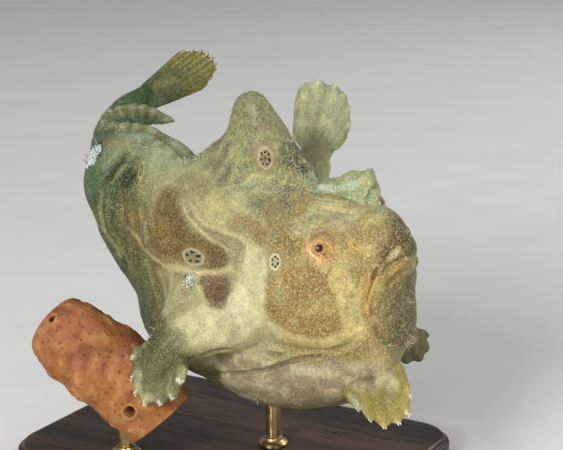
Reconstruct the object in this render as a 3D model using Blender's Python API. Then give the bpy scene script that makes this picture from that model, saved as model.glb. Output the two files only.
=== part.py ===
"""Frogfish, a still life-size display model on a plain stand.

The fish grips a short cut length of a finger sponge with its right pectoral fin.
Sizes are in millimetres in the fish's own frame: +X towards the head, +Y to the
fish's left and +Z up. The model's origin is the middle of the base's underside.
"""
import math

import bmesh
import bpy
from mathutils import Matrix, Vector

MM = 0.001
GAP = 0.3                       # air left between pieces that touch

# Driving dimensions of the fish
BODY_LENGTH = 105.0             # chin to the bend of the tail
BODY_WIDTH = 40.0
BODY_DEPTH = 64.0               # back to throat
EYE_RADIUS = 3.0
EYE_PLACE = (25.8, 14.4, 8.0)
HAND_THICKNESS = 3.2
GRIPPING_THICKNESS = 3.8        # the hand on the perch is drawn together
FOOT_THICKNESS = 2.2
FIN_THICKNESS = 1.8
PECTORAL_RAYS = 9
GRIPPING_RAYS = 7               # those that show from outside, the rest curl under
PELVIC_RAYS = 5
CAUDAL_RAYS = 9
DORSAL_RAYS = 13
ANAL_RAYS = 8

# Driving dimensions of the stand
BASE_LENGTH = 102.0
BASE_WIDTH = 74.0
BASE_HEIGHT = 6.0
BASE_CORNER = 12.0
BASE_EDGE = 1.2
ROD_RADIUS = 2.0
ROD_SIDES = 20
CLEARANCE = 11.7                # base top to the lowest point of the belly
BODY_ROD = (4.0, 0.0)           # where the rods stand, in the fish's frame
PERCH_ROD = (-26.0, -25.0)
BODY_ROD_TOP = 4.0              # above the lowest point of the belly, before it is trimmed
PERCH_ROD_TOP = 3.5

# Surface settings of the body
VOXEL = 1.3
SMOOTH_ROUNDS = 15
BODY_TRIANGLES = 2500

BELLY_LOW = -40.3
FISH_ORIGIN = Vector((8.0, 0.0, BASE_HEIGHT + CLEARANCE - BELLY_LOW))

# Masses of the body: centre, half-sizes, nose-up tilt in degrees
HALF_LENGTH = BODY_LENGTH / 2
HALF_WIDTH = BODY_WIDTH / 2
HALF_DEPTH = BODY_DEPTH / 2
MASSES = {
    "head": ((18.5, 0.0, -3.0), (0.467 * HALF_LENGTH, HALF_WIDTH, 0.72 * HALF_DEPTH), 0.0),
    "snout": ((31.0, 0.0, 5.5), (0.25 * HALF_LENGTH, 0.6 * HALF_WIDTH, 0.375 * HALF_DEPTH), 0.0),
    "jaw": ((31.0, 0.0, -10.0), (0.236 * HALF_LENGTH, 0.725 * HALF_WIDTH, 0.515 * HALF_DEPTH), 8.0),
    "throat": ((9.0, 0.0, -24.5), (0.59 * HALF_LENGTH, 0.8 * HALF_WIDTH, 0.475 * HALF_DEPTH), 4.0),
    "belly": ((-12.0, 0.0, -16.0), (0.457 * HALF_LENGTH, 0.875 * HALF_WIDTH, 0.61 * HALF_DEPTH), 0.0),
    "trunk": ((-10.0, 0.0, 4.0), (0.514 * HALF_LENGTH, 0.9 * HALF_WIDTH, 0.656 * HALF_DEPTH), 0.0),
    "nape": ((-1.5, 0.0, 19.0), (0.36 * HALF_LENGTH, 0.45 * HALF_WIDTH, 0.4 * HALF_DEPTH), 0.0),
    "loin": ((-25.0, 0.5, -4.0), (0.36 * HALF_LENGTH, 0.7 * HALF_WIDTH, 0.5 * HALF_DEPTH), -30.0),
    "rump": ((-33.6, 1.0, 11.0), (0.43 * HALF_LENGTH, 0.675 * HALF_WIDTH, 0.53 * HALF_DEPTH), -25.0),
}
# Tapering limbs: x, y, z and radius at each station
TAIL_ROOT = [(-38, 2, 15, 13), (-48, 7, 19, 9.5), (-55, 14, 21, 7.8), (-58.8, 21, 25, 6.4),
             (-58.5, 26, 29, 5.4), (-57, 30, 32, 4.2)]
RIGHT_SHOULDER = [(-9, -6, 2, 9), (-9.5, -11, -5, 9), (-10, -16.5, -11.5, 8), (-11, -22.5, -17, 6.3),
                  (-11.8, -27, -21, 5)]
THIRD_SPINE = [(-0.5, 0, 19, 14.5), (-0.7, 0, 27, 12.3), (-1.4, 0, 34.5, 8.2), (-2.3, 0, 40, 5.6),
               (-2.6, 0, 43.2, 3.8)]
THIRD_SPINE_FLATTENING = 0.6
RIGHT_ARM = [(3, -11, -12, 10), (-4.5, -19, -15, 7.8), (-10, -25.5, -18.5, 6.2), (-12, -29, -23.5, 4.8),
             (-12.4, -31.2, -28, 2.8)]
LEFT_ARM = [(1, 12, -8, 10), (-2, 20, 0, 7.8), (-1.8, 27, 9, 6.2), (-1.6, 31.2, 16, 5), (-1.6, 34, 23, 3.4),
            (-1.6, 36, 29, 1.6)]
RIGHT_SHANK = [(35, -5, -18, 5.5), (39.5, -7.5, -21.5, 3.4), (43, -10.5, -25, 1.6)]
LEFT_SHANK = [(34, 5, -16, 5.5), (37.5, 9, -18, 3.6), (37.5, 13.5, -21.5, 1.4)]
ILLICIUM = [(35.6, 2.2, 14, 0.7), (33.2, 4.1, 17.2, 0.6), (29.5, 4.6, 19.3, 0.55), (25.5, 4.6, 20.2, 0.5),
            (22.8, 4.5, 20.5, 0.5)]
ESCA_PLACE = (21.6, 4.5, 20.7)
ESCA_SIZE = (1.6, 0.8, 0.8)
PERCH = [(-47, -25, -21, 9.5), (-39, -26, -24.5, 10.8), (-29, -25.5, -29.5, 11.0), (-21, -23.5, -36, 10.4),
         (-17, -22, -41, 9.8)]

# Planes that part the body: a point on the plane and its normal. The mouth's own cut
# is a wedge, given by its corners in the XZ plane.
GILL_PLANE = ((14.5, 0, 24), (0.98, 0, -0.2))
TAIL_PLANE = ((-29, 0, 10), (-0.98, 0, 0.17))
NAPE_PLANE = ((0, 0, 26.2), (0.09, 0, 1))
MOUTH_TOP = (39.5, 4.5)
MOUTH_END = (35.5, -11.0)
JAW_FOOT = (33.0, -20.0)
JAW_DROP = -27.0                # how low the cut under the chin comes out in front
MOUTH_RISE = 6.0                # and how high the one through the mouth does


def place(point):
    """A point of the fish's frame, in the model's frame in metres."""
    return (Vector(point) + FISH_ORIGIN) * MM


def link(name, data):
    """Add an object to the scene."""
    obj = bpy.data.objects.new(name, data)
    bpy.context.scene.collection.objects.link(obj)
    return obj


def skin_material(name, color, roughness):
    """A plain paint for one node."""
    material = bpy.data.materials.new(name)
    material.use_nodes = True
    shader = material.node_tree.nodes["Principled BSDF"]
    shader.inputs["Base Color"].default_value = (*color, 1.0)
    shader.inputs["Roughness"].default_value = roughness
    shader.inputs["Metallic"].default_value = 0.0
    material.diffuse_color = (*color, 1.0)
    return material


def finish(obj, color, roughness=0.6):
    """Give a node its own material and smooth shading."""
    obj.data.materials.clear()
    obj.data.materials.append(skin_material(obj.name, color, roughness))
    for face in obj.data.polygons:
        face.use_smooth = True
    return obj


def settled(obj):
    """The object's mesh with its modifiers applied."""
    bpy.context.view_layer.update()
    graph = bpy.context.evaluated_depsgraph_get()
    return bpy.data.meshes.new_from_object(obj.evaluated_get(graph))


def settle(obj):
    """Apply an object's modifiers to its own mesh."""
    mesh = settled(obj)
    obj.modifiers.clear()
    obj.data = mesh
    return obj


def hide(obj):
    """Mark a cutter or a guide, which is no part of the model."""
    obj.hide_render = True
    obj.display_type = "WIRE"
    return obj


def catmull(points, count):
    """A smooth curve through the points, read at evenly spaced steps."""
    rows = [[2 * a - b for a, b in zip(points[0], points[1])], *points,
            [2 * a - b for a, b in zip(points[-1], points[-2])]]
    result = []
    for step in range(count):
        along = step / (count - 1) * (len(points) - 1)
        first = min(int(along), len(points) - 2)
        t = along - first
        p0, p1, p2, p3 = rows[first:first + 4]
        result.append([0.5 * (2 * b + (c - a) * t + (2 * a - 5 * b + 4 * c - d) * t ** 2
                              + (3 * b - a - 3 * c + d) * t ** 3)
                       for a, b, c, d in zip(p0, p1, p2, p3)])
    return result


def ball(name, centre, half_sizes, tilt=0.0, rings=24):
    """An ellipsoid, tilted nose-up about the Y axis."""
    bm = bmesh.new()
    bmesh.ops.create_uvsphere(bm, u_segments=2 * rings, v_segments=rings, radius=1.0)
    scale = Matrix.Diagonal((*[MM * size for size in half_sizes], 1.0))
    turn = Matrix.Rotation(math.radians(-tilt), 4, "Y")
    bm.transform(Matrix.Translation(place(centre)) @ turn @ scale)
    mesh = bpy.data.meshes.new(name)
    bm.to_mesh(mesh)
    bm.free()
    return link(name, mesh)


def limb(name, stations, steps=12, resolution=4):
    """A round tapering tube through the stations, as a mesh."""
    curve = bpy.data.curves.new(name, "CURVE")
    curve.dimensions = "3D"
    curve.bevel_depth = MM
    curve.bevel_resolution = resolution
    curve.use_fill_caps = True
    spline = curve.splines.new("POLY")
    rows = catmull(stations, steps)
    spline.points.add(len(rows) - 1)
    for point, (x, y, z, radius) in zip(spline.points, rows):
        point.co = (*place((x, y, z)), 1.0)
        point.radius = radius
    guide = link(name, curve)
    mesh = settled(guide)
    bpy.data.objects.remove(guide)
    bm = bmesh.new()
    bm.from_mesh(mesh)
    bmesh.ops.remove_doubles(bm, verts=bm.verts, dist=0.01 * MM)
    bmesh.ops.recalc_face_normals(bm, faces=bm.faces)
    bm.to_mesh(mesh)
    bm.free()
    return link(name, mesh)


def fin(name, root, edge, rays, thickness, bow=0.0, tooth=0.6, ridge=0.2, rows=3, rim=0.62):
    """A rayed fin: a sheet ruled from a root line to an edge line, given thickness.

    Each ray lies on a column of the sheet, the membrane between two rays on the next
    one. The edge stands out at the ray tips by the tooth, and the sheet bows sideways.
    """
    columns = 2 * rays + 1
    roots = [Vector(p) for p in catmull(root, columns)]
    edges = [Vector(p) for p in catmull(edge, columns)]
    bm = bmesh.new()
    bmesh.ops.create_grid(bm, x_segments=columns - 1, y_segments=rows, size=1.0)
    mesh = bpy.data.meshes.new(name)
    weights = {}
    for vert in bm.verts:
        column = round((vert.co.x + 1) / 2 * (columns - 1))
        height = (vert.co.y + 1) / 2
        on_ray = column % 2
        line = edges[column] - roots[column]
        side = (edges[-1] - edges[0]).cross(line).normalized()
        reach = 1 + (tooth * (on_ray - 0.5)) / line.length * height
        point = roots[column] + line * height * reach + side * bow * math.sin(math.pi * height)
        vert.co = place(point)
        swell = 1 + ridge * (2 * on_ray - 1) * min(1.0, 2 * height)
        weights[vert.index] = min(1.0, (1 - (1 - rim) * height) * swell / (1 + ridge))
    bm.verts.index_update()
    bm.to_mesh(mesh)
    bm.free()
    obj = link(name, mesh)
    group = obj.vertex_groups.new(name="thickness")
    for index, weight in weights.items():
        group.add([index], weight, "REPLACE")
    solid = obj.modifiers.new("thickness", "SOLIDIFY")
    solid.thickness = thickness * (1 + ridge) * MM
    solid.offset = 0.0
    solid.vertex_group = group.name
    solid.use_even_offset = False
    settle(obj)
    bm = bmesh.new()
    bm.from_mesh(obj.data)
    bmesh.ops.recalc_face_normals(bm, faces=bm.faces)
    bm.to_mesh(obj.data)
    bm.free()
    return obj


def boolean(obj, other, operation):
    """Cut, join or trim an object with another, and apply it."""
    modifier = obj.modifiers.new(operation.lower(), "BOOLEAN")
    modifier.operation = operation
    modifier.object = other
    modifier.solver = "EXACT"
    return settle(obj)


def joined(name, objects):
    """One mesh that holds the meshes of several objects."""
    bm = bmesh.new()
    for obj in objects:
        bm.from_mesh(obj.data)
        bpy.data.objects.remove(obj)
    mesh = bpy.data.meshes.new(name)
    bm.to_mesh(mesh)
    bm.free()
    return link(name, mesh)


def grown(obj, distance, name):
    """A hidden copy of an object that stands proud of it by a distance."""
    copy = hide(link(name, obj.data.copy()))
    swell = copy.modifiers.new("swell", "DISPLACE")
    swell.mid_level = 0.0
    swell.strength = distance * MM
    return settle(copy)


def cut_away(obj, plane, side, name):
    """A copy of an object that keeps what lies on one side of a plane."""
    point, normal = plane
    normal = Vector(normal).normalized() * side
    bm = bmesh.new()
    bm.from_mesh(obj.data)
    bmesh.ops.bisect_plane(bm, geom=bm.verts[:] + bm.edges[:] + bm.faces[:],
                           plane_co=place(point) + normal * GAP / 2 * MM,
                           plane_no=-normal, clear_outer=True)
    rims = [edge for edge in bm.edges if edge.is_boundary]
    bmesh.ops.holes_fill(bm, edges=rims, sides=0)
    bmesh.ops.triangulate(bm, faces=bm.faces)
    bmesh.ops.recalc_face_normals(bm, faces=bm.faces)
    mesh = bpy.data.meshes.new(name)
    bm.to_mesh(mesh)
    bm.free()
    return link(name, mesh)


def wedge(name, corners, half_width):
    """A prism whose outline in the XZ plane is a polygon."""
    bm = bmesh.new()
    face = bm.faces.new([bm.verts.new(place((x, -half_width, z))) for x, z in corners])
    swept = bmesh.ops.extrude_face_region(bm, geom=[face])
    moved = [item for item in swept["geom"] if isinstance(item, bmesh.types.BMVert)]
    bmesh.ops.translate(bm, verts=moved, vec=(0, 2 * half_width * MM, 0))
    bmesh.ops.recalc_face_normals(bm, faces=bm.faces)
    mesh = bpy.data.meshes.new(name)
    bm.to_mesh(mesh)
    bm.free()
    return hide(link(name, mesh))


def make_body():
    """The whole fish without its fins: masses and tail grown into one smooth skin."""
    pieces = [ball(name, *mass) for name, mass in MASSES.items()]
    pieces += [limb("tail_root", TAIL_ROOT), limb("shoulder", RIGHT_SHOULDER)]
    spine = limb("third_spine", THIRD_SPINE)
    flatten = Matrix.Diagonal((1.0, THIRD_SPINE_FLATTENING, 1.0, 1.0))
    spine.data.transform(flatten)
    pieces.append(spine)
    body = joined("body", pieces)
    remesh = body.modifiers.new("grow_together", "REMESH")
    remesh.mode = "VOXEL"
    remesh.voxel_size = VOXEL * MM
    smooth = body.modifiers.new("soften", "SMOOTH")
    smooth.factor = 0.5
    smooth.iterations = SMOOTH_ROUNDS
    settle(body)
    thin = body.modifiers.new("thin_out", "DECIMATE")
    thin.ratio = BODY_TRIANGLES / (2 * len(body.data.polygons))
    settle(body)
    return hide(body)


def part_body(body):
    """Head, lower jaw, trunk, third spine and tail, parted by thin cuts."""
    skin = (0.42, 0.37, 0.22)
    head = cut_away(body, GILL_PLANE, 1, "head")
    rest = cut_away(body, GILL_PLANE, -1, "rest")
    tail = cut_away(rest, TAIL_PLANE, 1, "tail")
    middle = cut_away(rest, TAIL_PLANE, -1, "middle")
    spine = cut_away(middle, NAPE_PLANE, 1, "third_dorsal_spine")
    trunk = cut_away(middle, NAPE_PLANE, -1, "trunk")
    for spare in (rest, middle):
        bpy.data.objects.remove(spare)

    ahead = BODY_LENGTH / 2
    room_outline = [MOUTH_TOP, MOUTH_END, JAW_FOOT, (ahead, JAW_DROP), (ahead, MOUTH_RISE)]
    inwards = [(GAP, -GAP), (GAP, 0), (GAP, GAP), (0, GAP), (0, -GAP)]
    form_outline = [(x + dx, z + dz) for (x, z), (dx, dz) in zip(room_outline, inwards)]
    jaw_room = wedge("jaw_room", room_outline, BODY_WIDTH)
    jaw_form = wedge("jaw_form", form_outline, BODY_WIDTH)
    jaw = link("lower_jaw", head.data.copy())
    boolean(jaw, jaw_form, "INTERSECT")
    boolean(head, jaw_room, "DIFFERENCE")
    for side in (-1, 1):
        x, y, z = EYE_PLACE
        socket = hide(ball("socket", (x, side * y, z), [EYE_RADIUS + GAP] * 3, rings=8))
        boolean(head, socket, "DIFFERENCE")
    finish(head, (0.47, 0.38, 0.2))
    finish(jaw, (0.4, 0.33, 0.22))
    finish(trunk, skin)
    finish(tail, (0.34, 0.33, 0.22))
    finish(spine, skin)


def make_eyes():
    """Two round eyes in their sockets."""
    x, y, z = EYE_PLACE
    for name, side in (("eye_right", -1), ("eye_left", 1)):
        eye = ball(name, (x, side * y, z), [EYE_RADIUS] * 3, rings=8)
        finish(eye, (0.5, 0.22, 0.12), 0.15)


def make_median_fins(room):
    """The fins on the fish's middle line and the fleshy second spine."""
    skin = (0.4, 0.36, 0.22)
    second = fin("second_dorsal_spine",
                 root=[(14, 0, 14), (20, 0, 15), (27, 0, 13.5), (31.6, 0, 12.5)],
                 edge=[(15.6, -0.6, 19.8), (19.4, -1, 21.6), (22.8, 0, 22.9), (26.2, 0, 24.7), (27.8, 0, 25.2),
                       (29.4, 0, 24.9), (31, 0, 25.9), (32.2, 0, 26), (33, 0, 24.2), (33.3, 0, 21.8),
                       (32.8, -0.5, 19)],
                 rays=5, thickness=4.4, tooth=0.4, ridge=0.06, rim=0.72)
    dorsal = fin("soft_dorsal_fin",
                 root=[(-19, 0, 17), (-33, 1.5, 17), (-44, 5, 17), (-53, 11, 20), (-55, 16, 22.5),
                       (-54, 20, 25), (-49.5, 22, 26.5), (-45.5, 21, 27)],
                 edge=[(-21, 0, 25.8), (-36, 3, 30.1), (-45, 6, 29.6), (-54, 8.6, 28.6), (-58.6, 12.5, 30.4),
                       (-57.2, 16, 33), (-52, 19, 34.3), (-46, 19, 33.2), (-37.6, 18, 29.2)],
                 rays=DORSAL_RAYS, thickness=2.9, tooth=0.25, ridge=0.1, rim=0.6)
    caudal = fin("caudal_fin",
                 root=[(-62.5, 28, 31), (-58, 27.5, 28), (-53, 28.5, 29)],
                 edge=[(-48.5, 36.5, 45.6), (-41.5, 39.2, 45.4), (-38.2, 40, 41.2), (-41.6, 38.6, 34.6)],
                 rays=CAUDAL_RAYS, thickness=FIN_THICKNESS, bow=-1.2, tooth=1.0, ridge=0.25)
    anal = fin("anal_fin",
               root=[(-31, 3, -1), (-38, 6, 4), (-46, 11, 11)],
               edge=[(-33, 8, -14), (-40, 12.5, -11.5), (-47, 17.5, -2), (-50, 18, 6)],
               rays=ANAL_RAYS, thickness=FIN_THICKNESS, tooth=0.9)
    for obj in (second, dorsal, caudal, anal):
        boolean(obj, room, "DIFFERENCE")
        finish(obj, skin)
    return second


def make_illicium(room, second):
    """The thin fishing rod, laid back beside the second spine, and its small lure."""
    rod = limb("illicium", ILLICIUM, steps=8, resolution=1)
    lure = ball("lure", ESCA_PLACE, ESCA_SIZE, rings=5)
    boolean(rod, lure, "UNION")
    bpy.data.objects.remove(lure)
    boolean(rod, room, "DIFFERENCE")
    clear = grown(second, GAP, "second_spine_room")
    boolean(rod, clear, "DIFFERENCE")
    finish(rod, (0.5, 0.45, 0.32))


def make_paired_fins(room):
    """Arm-like pectoral fins and the small pelvic fins: a fleshy limb and a fan of rays."""
    fins = {
        "pectoral_fin_right": (RIGHT_ARM, dict(
            root=[(-17.5, -27, -19), (-11.5, -27.5, -20), (-5.5, -27.5, -18.5)],
            edge=[(-19.5, -29.5, -19.6), (-18.9, -31.5, -25.6), (-17.3, -33, -30.2), (-14.1, -33, -33.3),
                  (-8.2, -33.5, -31.6), (-4.6, -33.2, -28.6), (-3.4, -31.5, -22.5)],
            rays=GRIPPING_RAYS, thickness=GRIPPING_THICKNESS, bow=0.8, tooth=1.3, ridge=0.12)),
        "pectoral_fin_left": (LEFT_ARM, dict(
            root=[(-7.2, 33, 22.5), (-1.8, 32, 18.5), (3.4, 33, 20.3)],
            edge=[(-9.2, 36, 24), (-10.2, 38, 31.3), (-9.2, 38.5, 38.2), (-4.6, 39, 39.8), (1.4, 39, 38.8),
                  (4.5, 39, 36.5), (6, 38.5, 32.2), (6.2, 37.5, 27.4), (4.2, 35.5, 23)],
            rays=PECTORAL_RAYS, thickness=HAND_THICKNESS, bow=0.8, tooth=1.3, ridge=0.12)),
        "pelvic_fin_right": (RIGHT_SHANK, dict(
            root=[(46, -9.5, -18), (39.5, -11, -24), (31.5, -9.5, -28)],
            edge=[(49.6, -13, -22.5), (51, -15, -26.5), (50.6, -16, -29.8), (48.2, -16, -32), (44.8, -16, -33.6),
                  (40.8, -15, -33.2), (37.2, -13.8, -32), (33.5, -12, -30.6)],
            rays=PELVIC_RAYS, thickness=FOOT_THICKNESS, bow=0.6, tooth=1.7)),
        "pelvic_fin_left": (LEFT_SHANK, dict(
            root=[(39.8, 8.6, -15.6), (37.5, 11, -19), (33, 11, -23)],
            edge=[(42, 13, -17.3), (40.4, 17.5, -21.5), (38.6, 20.3, -27), (35, 20.7, -29.6),
                  (31.5, 18.4, -29), (28.8, 14, -26.4)],
            rays=PELVIC_RAYS, thickness=FOOT_THICKNESS, bow=0.6, tooth=1.7)),
    }
    made = []
    for name, (stations, shape) in fins.items():
        arm = limb(name, stations)
        fan = fin(name + "_fan", **shape)
        boolean(arm, fan, "UNION")
        bpy.data.objects.remove(fan)
        boolean(arm, room, "DIFFERENCE")
        finish(arm, (0.45, 0.42, 0.28))
        made.append(arm)
    return made


def make_perch(room, hand):
    """A short cut length of a finger sponge, which the right hand grips."""
    perch = limb("perch", PERCH, steps=12, resolution=5)
    boolean(perch, room, "DIFFERENCE")
    boolean(perch, grown(hand, GAP, "hand_room"), "DIFFERENCE")
    finish(perch, (0.5, 0.25, 0.12), 0.8)
    return perch


def make_stand(room, perch):
    """A flat base and two short rods, one to the belly and one to the perch."""
    bm = bmesh.new()
    bmesh.ops.create_cube(bm, size=1.0)
    bm.transform(Matrix.Translation((0, 0, BASE_HEIGHT / 2 * MM))
                 @ Matrix.Diagonal((BASE_LENGTH * MM, BASE_WIDTH * MM, BASE_HEIGHT * MM, 1.0)))
    upright = [e for e in bm.edges if abs(e.verts[0].co.z - e.verts[1].co.z) > BASE_HEIGHT / 2 * MM]
    bmesh.ops.bevel(bm, geom=upright, offset=BASE_CORNER * MM, segments=6, profile=0.5, affect="EDGES")
    top = [e for e in bm.edges if all(v.co.z > BASE_HEIGHT * 0.99 * MM for v in e.verts)]
    bmesh.ops.bevel(bm, geom=top, offset=BASE_EDGE * MM, segments=2, profile=0.5, affect="EDGES")
    mesh = bpy.data.meshes.new("stand_base")
    bm.to_mesh(mesh)
    bm.free()
    finish(link("stand_base", mesh), (0.06, 0.035, 0.02), 0.35)
    mesh.set_sharp_from_angle(angle=math.radians(30))

    rods = {"stand_rod_body": (BODY_ROD, BELLY_LOW + BODY_ROD_TOP, room),
            "stand_rod_perch": (PERCH_ROD, BELLY_LOW + PERCH_ROD_TOP, grown(perch, GAP, "perch_room"))}
    for name, ((x, y), top_height, carried) in rods.items():
        foot = Vector((FISH_ORIGIN.x + x, FISH_ORIGIN.y + y, BASE_HEIGHT + GAP))
        length = top_height + FISH_ORIGIN.z - BASE_HEIGHT - GAP
        bm = bmesh.new()
        bmesh.ops.create_cone(bm, cap_ends=True, segments=ROD_SIDES, radius1=ROD_RADIUS * MM,
                              radius2=ROD_RADIUS * MM, depth=length * MM)
        bmesh.ops.translate(bm, verts=bm.verts, vec=(foot + Vector((0, 0, length / 2))) * MM)
        mesh = bpy.data.meshes.new(name)
        bm.to_mesh(mesh)
        bm.free()
        rod = link(name, mesh)
        boolean(rod, carried, "DIFFERENCE")
        finish(rod, (0.55, 0.5, 0.4), 0.3)
        rod.data.set_sharp_from_angle(angle=math.radians(40))


def build():
    """Clear the scene and build the model from the fish outwards to its stand."""
    for obj in list(bpy.data.objects):
        bpy.data.objects.remove(obj)
    body = make_body()
    room = grown(body, GAP, "body_room")
    part_body(body)
    make_eyes()
    second = make_median_fins(room)
    make_illicium(room, second)
    hand = make_paired_fins(room)[0]
    perch = make_perch(room, hand)
    make_stand(room, perch)


build()
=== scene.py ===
import math

import bpy
import numpy as np
from mathutils import Matrix, Vector
from mathutils.bvhtree import BVHTree


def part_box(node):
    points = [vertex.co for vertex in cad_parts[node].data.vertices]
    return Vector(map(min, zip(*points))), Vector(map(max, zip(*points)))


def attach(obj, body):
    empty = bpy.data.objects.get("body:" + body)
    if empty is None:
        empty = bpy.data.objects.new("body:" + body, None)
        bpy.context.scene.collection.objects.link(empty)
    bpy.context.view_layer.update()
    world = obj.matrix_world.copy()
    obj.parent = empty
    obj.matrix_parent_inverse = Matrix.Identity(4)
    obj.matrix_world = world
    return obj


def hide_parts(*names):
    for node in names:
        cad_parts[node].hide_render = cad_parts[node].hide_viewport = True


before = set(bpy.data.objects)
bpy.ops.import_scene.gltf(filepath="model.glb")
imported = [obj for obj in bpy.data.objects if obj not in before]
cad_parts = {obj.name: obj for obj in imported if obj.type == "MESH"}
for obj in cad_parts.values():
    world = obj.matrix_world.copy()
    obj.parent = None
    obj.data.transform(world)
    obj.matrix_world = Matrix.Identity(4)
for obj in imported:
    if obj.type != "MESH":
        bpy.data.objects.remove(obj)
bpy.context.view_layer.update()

# Base. A flat board of dark stained hardwood with rounded corners and a run of
# moulding round its top edge, sanded and finished with a satin lacquer.
MM = 0.001
BASE_CORNER = 12.0
BASE_POINTS_PER_CORNER = 24
# The moulding: how far in from the outline, and the share of the board's height
BASE_MOULDING = [
    (0.9, 0.0), (0.3, 0.03), (0.0, 0.12), (0.0, 0.62), (0.15, 0.7), (0.5, 0.74), (0.9, 0.75), (1.2, 0.78),
    (1.35, 0.86), (1.7, 0.94), (2.3, 0.985), (3.2, 1.0),
]


def outward(points, faces):
    """The faces turned so that they point outwards: the sum of each face's corner dotted
    with the cross product of its edges is six times the volume, and is made positive."""
    a, b, c = (points[faces[:, k]] for k in (0, 1, 2))
    volume = np.einsum("ij,ij->", a, np.cross(b - a, c - a))
    if faces.shape[1] == 4:
        d = points[faces[:, 3]]
        volume += np.einsum("ij,ij->", a, np.cross(c - a, d - a))
    return faces[:, ::-1] if volume < 0 else faces


def add_piece(name, points, faces, smooth=True):
    """A new object whose mesh has these points, in metres, and these faces."""
    mesh = bpy.data.meshes.new(name)
    mesh.from_pydata(np.asarray(points).tolist(), [], [list(face) for face in faces])
    mesh.polygons.foreach_set("use_smooth", np.full(len(mesh.polygons), smooth))
    mesh.update()
    piece = bpy.data.objects.new(name, mesh)
    bpy.context.scene.collection.objects.link(piece)
    return piece


def ring_faces(rows, columns):
    """Four-sided faces between neighbouring closed rings of a grid of points."""
    first = np.arange((rows - 1) * columns).reshape(rows - 1, columns)
    beside = np.roll(first, -1, axis=1)
    return np.stack([first, beside, beside + columns, first + columns], -1).reshape(-1, 4)


def rounded_outline(half_length, half_width, corner, steps):
    """Points round a rectangle with round corners: each quarter circle about its own centre."""
    turn = np.linspace(0, np.pi / 2, steps)
    quarters = []
    for number, (sx, sy) in enumerate([(1, 1), (-1, 1), (-1, -1), (1, -1)]):
        angle = turn + number * np.pi / 2
        quarters.append(np.stack([sx * (half_length - corner) + corner * np.cos(angle),
                                  sy * (half_width - corner) + corner * np.sin(angle)], -1))
    return np.concatenate(quarters)


def make_base():
    """The board: the outline drawn in by each inset of the moulding, ring above ring,
    with one flat face on top and one below."""
    low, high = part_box("stand_base")
    half_length, half_width = (high.x - low.x) / 2 / MM, (high.y - low.y) / 2 / MM
    height = (high.z - low.z) / MM
    rings = []
    for inset, share in BASE_MOULDING:
        outline = rounded_outline(half_length - inset, half_width - inset, BASE_CORNER - inset,
                                  BASE_POINTS_PER_CORNER)
        rings.append(np.column_stack([outline, np.full(len(outline), share * height)]))
    count = len(rings[0])
    points = np.concatenate(rings)
    sides = outward(points, ring_faces(len(rings), count))
    bottom = list(range(count))[::-1]
    top = list(range(len(points) - count, len(points)))
    return add_piece("stand_base_board", points * MM, sides.tolist() + [bottom, top])


base = make_base()
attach(base, "root")
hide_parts("stand_base")


def new_material(name, **values):
    """An empty material and its Principled shader, with constants set on the shader's own sockets."""
    material = bpy.data.materials.new(name)
    material.use_nodes = True
    tree = material.node_tree
    tree.nodes.clear()
    shader = tree.nodes.new("ShaderNodeBsdfPrincipled")
    output = tree.nodes.new("ShaderNodeOutputMaterial")
    tree.links.new(shader.outputs["BSDF"], output.inputs["Surface"])
    for socket, value in values.items():
        shader.inputs[socket.replace("_", " ")].default_value = value
    return material, tree, shader


def add_node(tree, kind, inputs=None, **settings):
    """A shader node with its settings; an input is given another node's socket or a plain value."""
    node = tree.nodes.new("ShaderNode" + kind)
    for name, value in settings.items():
        setattr(node, name, value)
    for socket, value in (inputs or {}).items():
        if isinstance(value, bpy.types.NodeSocket):
            tree.links.new(value, node.inputs[socket])
        else:
            node.inputs[socket].default_value = value
    return node


def between(tree, value, low, high, start=0.0, end=1.0):
    """A socket that goes smoothly from start at low to end at high."""
    return add_node(tree, "MapRange", {"Value": value, "From Min": low, "From Max": high, "To Min": start,
                                       "To Max": end}, interpolation_type="SMOOTHSTEP").outputs["Result"]


def arithmetic(tree, operation, first, second=0.0):
    """A socket with one sum, product or other step of arithmetic."""
    return add_node(tree, "Math", {0: first, 1: second}, operation=operation).outputs[0]


def product(tree, first, second):
    """A socket with the product of two values."""
    return arithmetic(tree, "MULTIPLY", first, second)


def blended(tree, factor, first, second, how="MIX"):
    """A socket with two colours blended by the factor."""
    return add_node(tree, "Mix", {"Factor": factor, 6: first, 7: second}, data_type="RGBA",
                    blend_type=how).outputs[2]


def object_place(tree):
    """A socket with the place on the piece in its own coordinates, in metres."""
    return add_node(tree, "TexCoord").outputs["Object"]


def noise(tree, place, scale, detail, distortion=0.0):
    """A socket with smooth noise of so many waves to a unit of the place."""
    return add_node(tree, "TexNoise", {"Vector": place, "Scale": scale, "Detail": detail,
                                       "Distortion": distortion}).outputs[0]


def stretched(tree, place, scale):
    """A socket with the place scaled along each axis, so that noise on it is stretched."""
    return add_node(tree, "Mapping", {"Vector": place, "Scale": scale}).outputs[0]


def bump_into(tree, shader, height, depth, strength=1.0):
    """Let a height, in units of the depth in metres, tilt the shader's normal."""
    bump = add_node(tree, "Bump", {"Height": height, "Distance": depth, "Strength": strength})
    tree.links.new(bump.outputs["Normal"], shader.inputs["Normal"])


WOOD_DARK = (0.020, 0.011, 0.006, 1)
WOOD_WARM = (0.085, 0.042, 0.020, 1)
WOOD_PORE = (0.006, 0.004, 0.003, 1)
WOOD_RING_SCALE = (9, 95, 140)          # waves to a metre along, across and up the board
WOOD_PORE_SCALE = (70, 1300, 1300)


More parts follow.
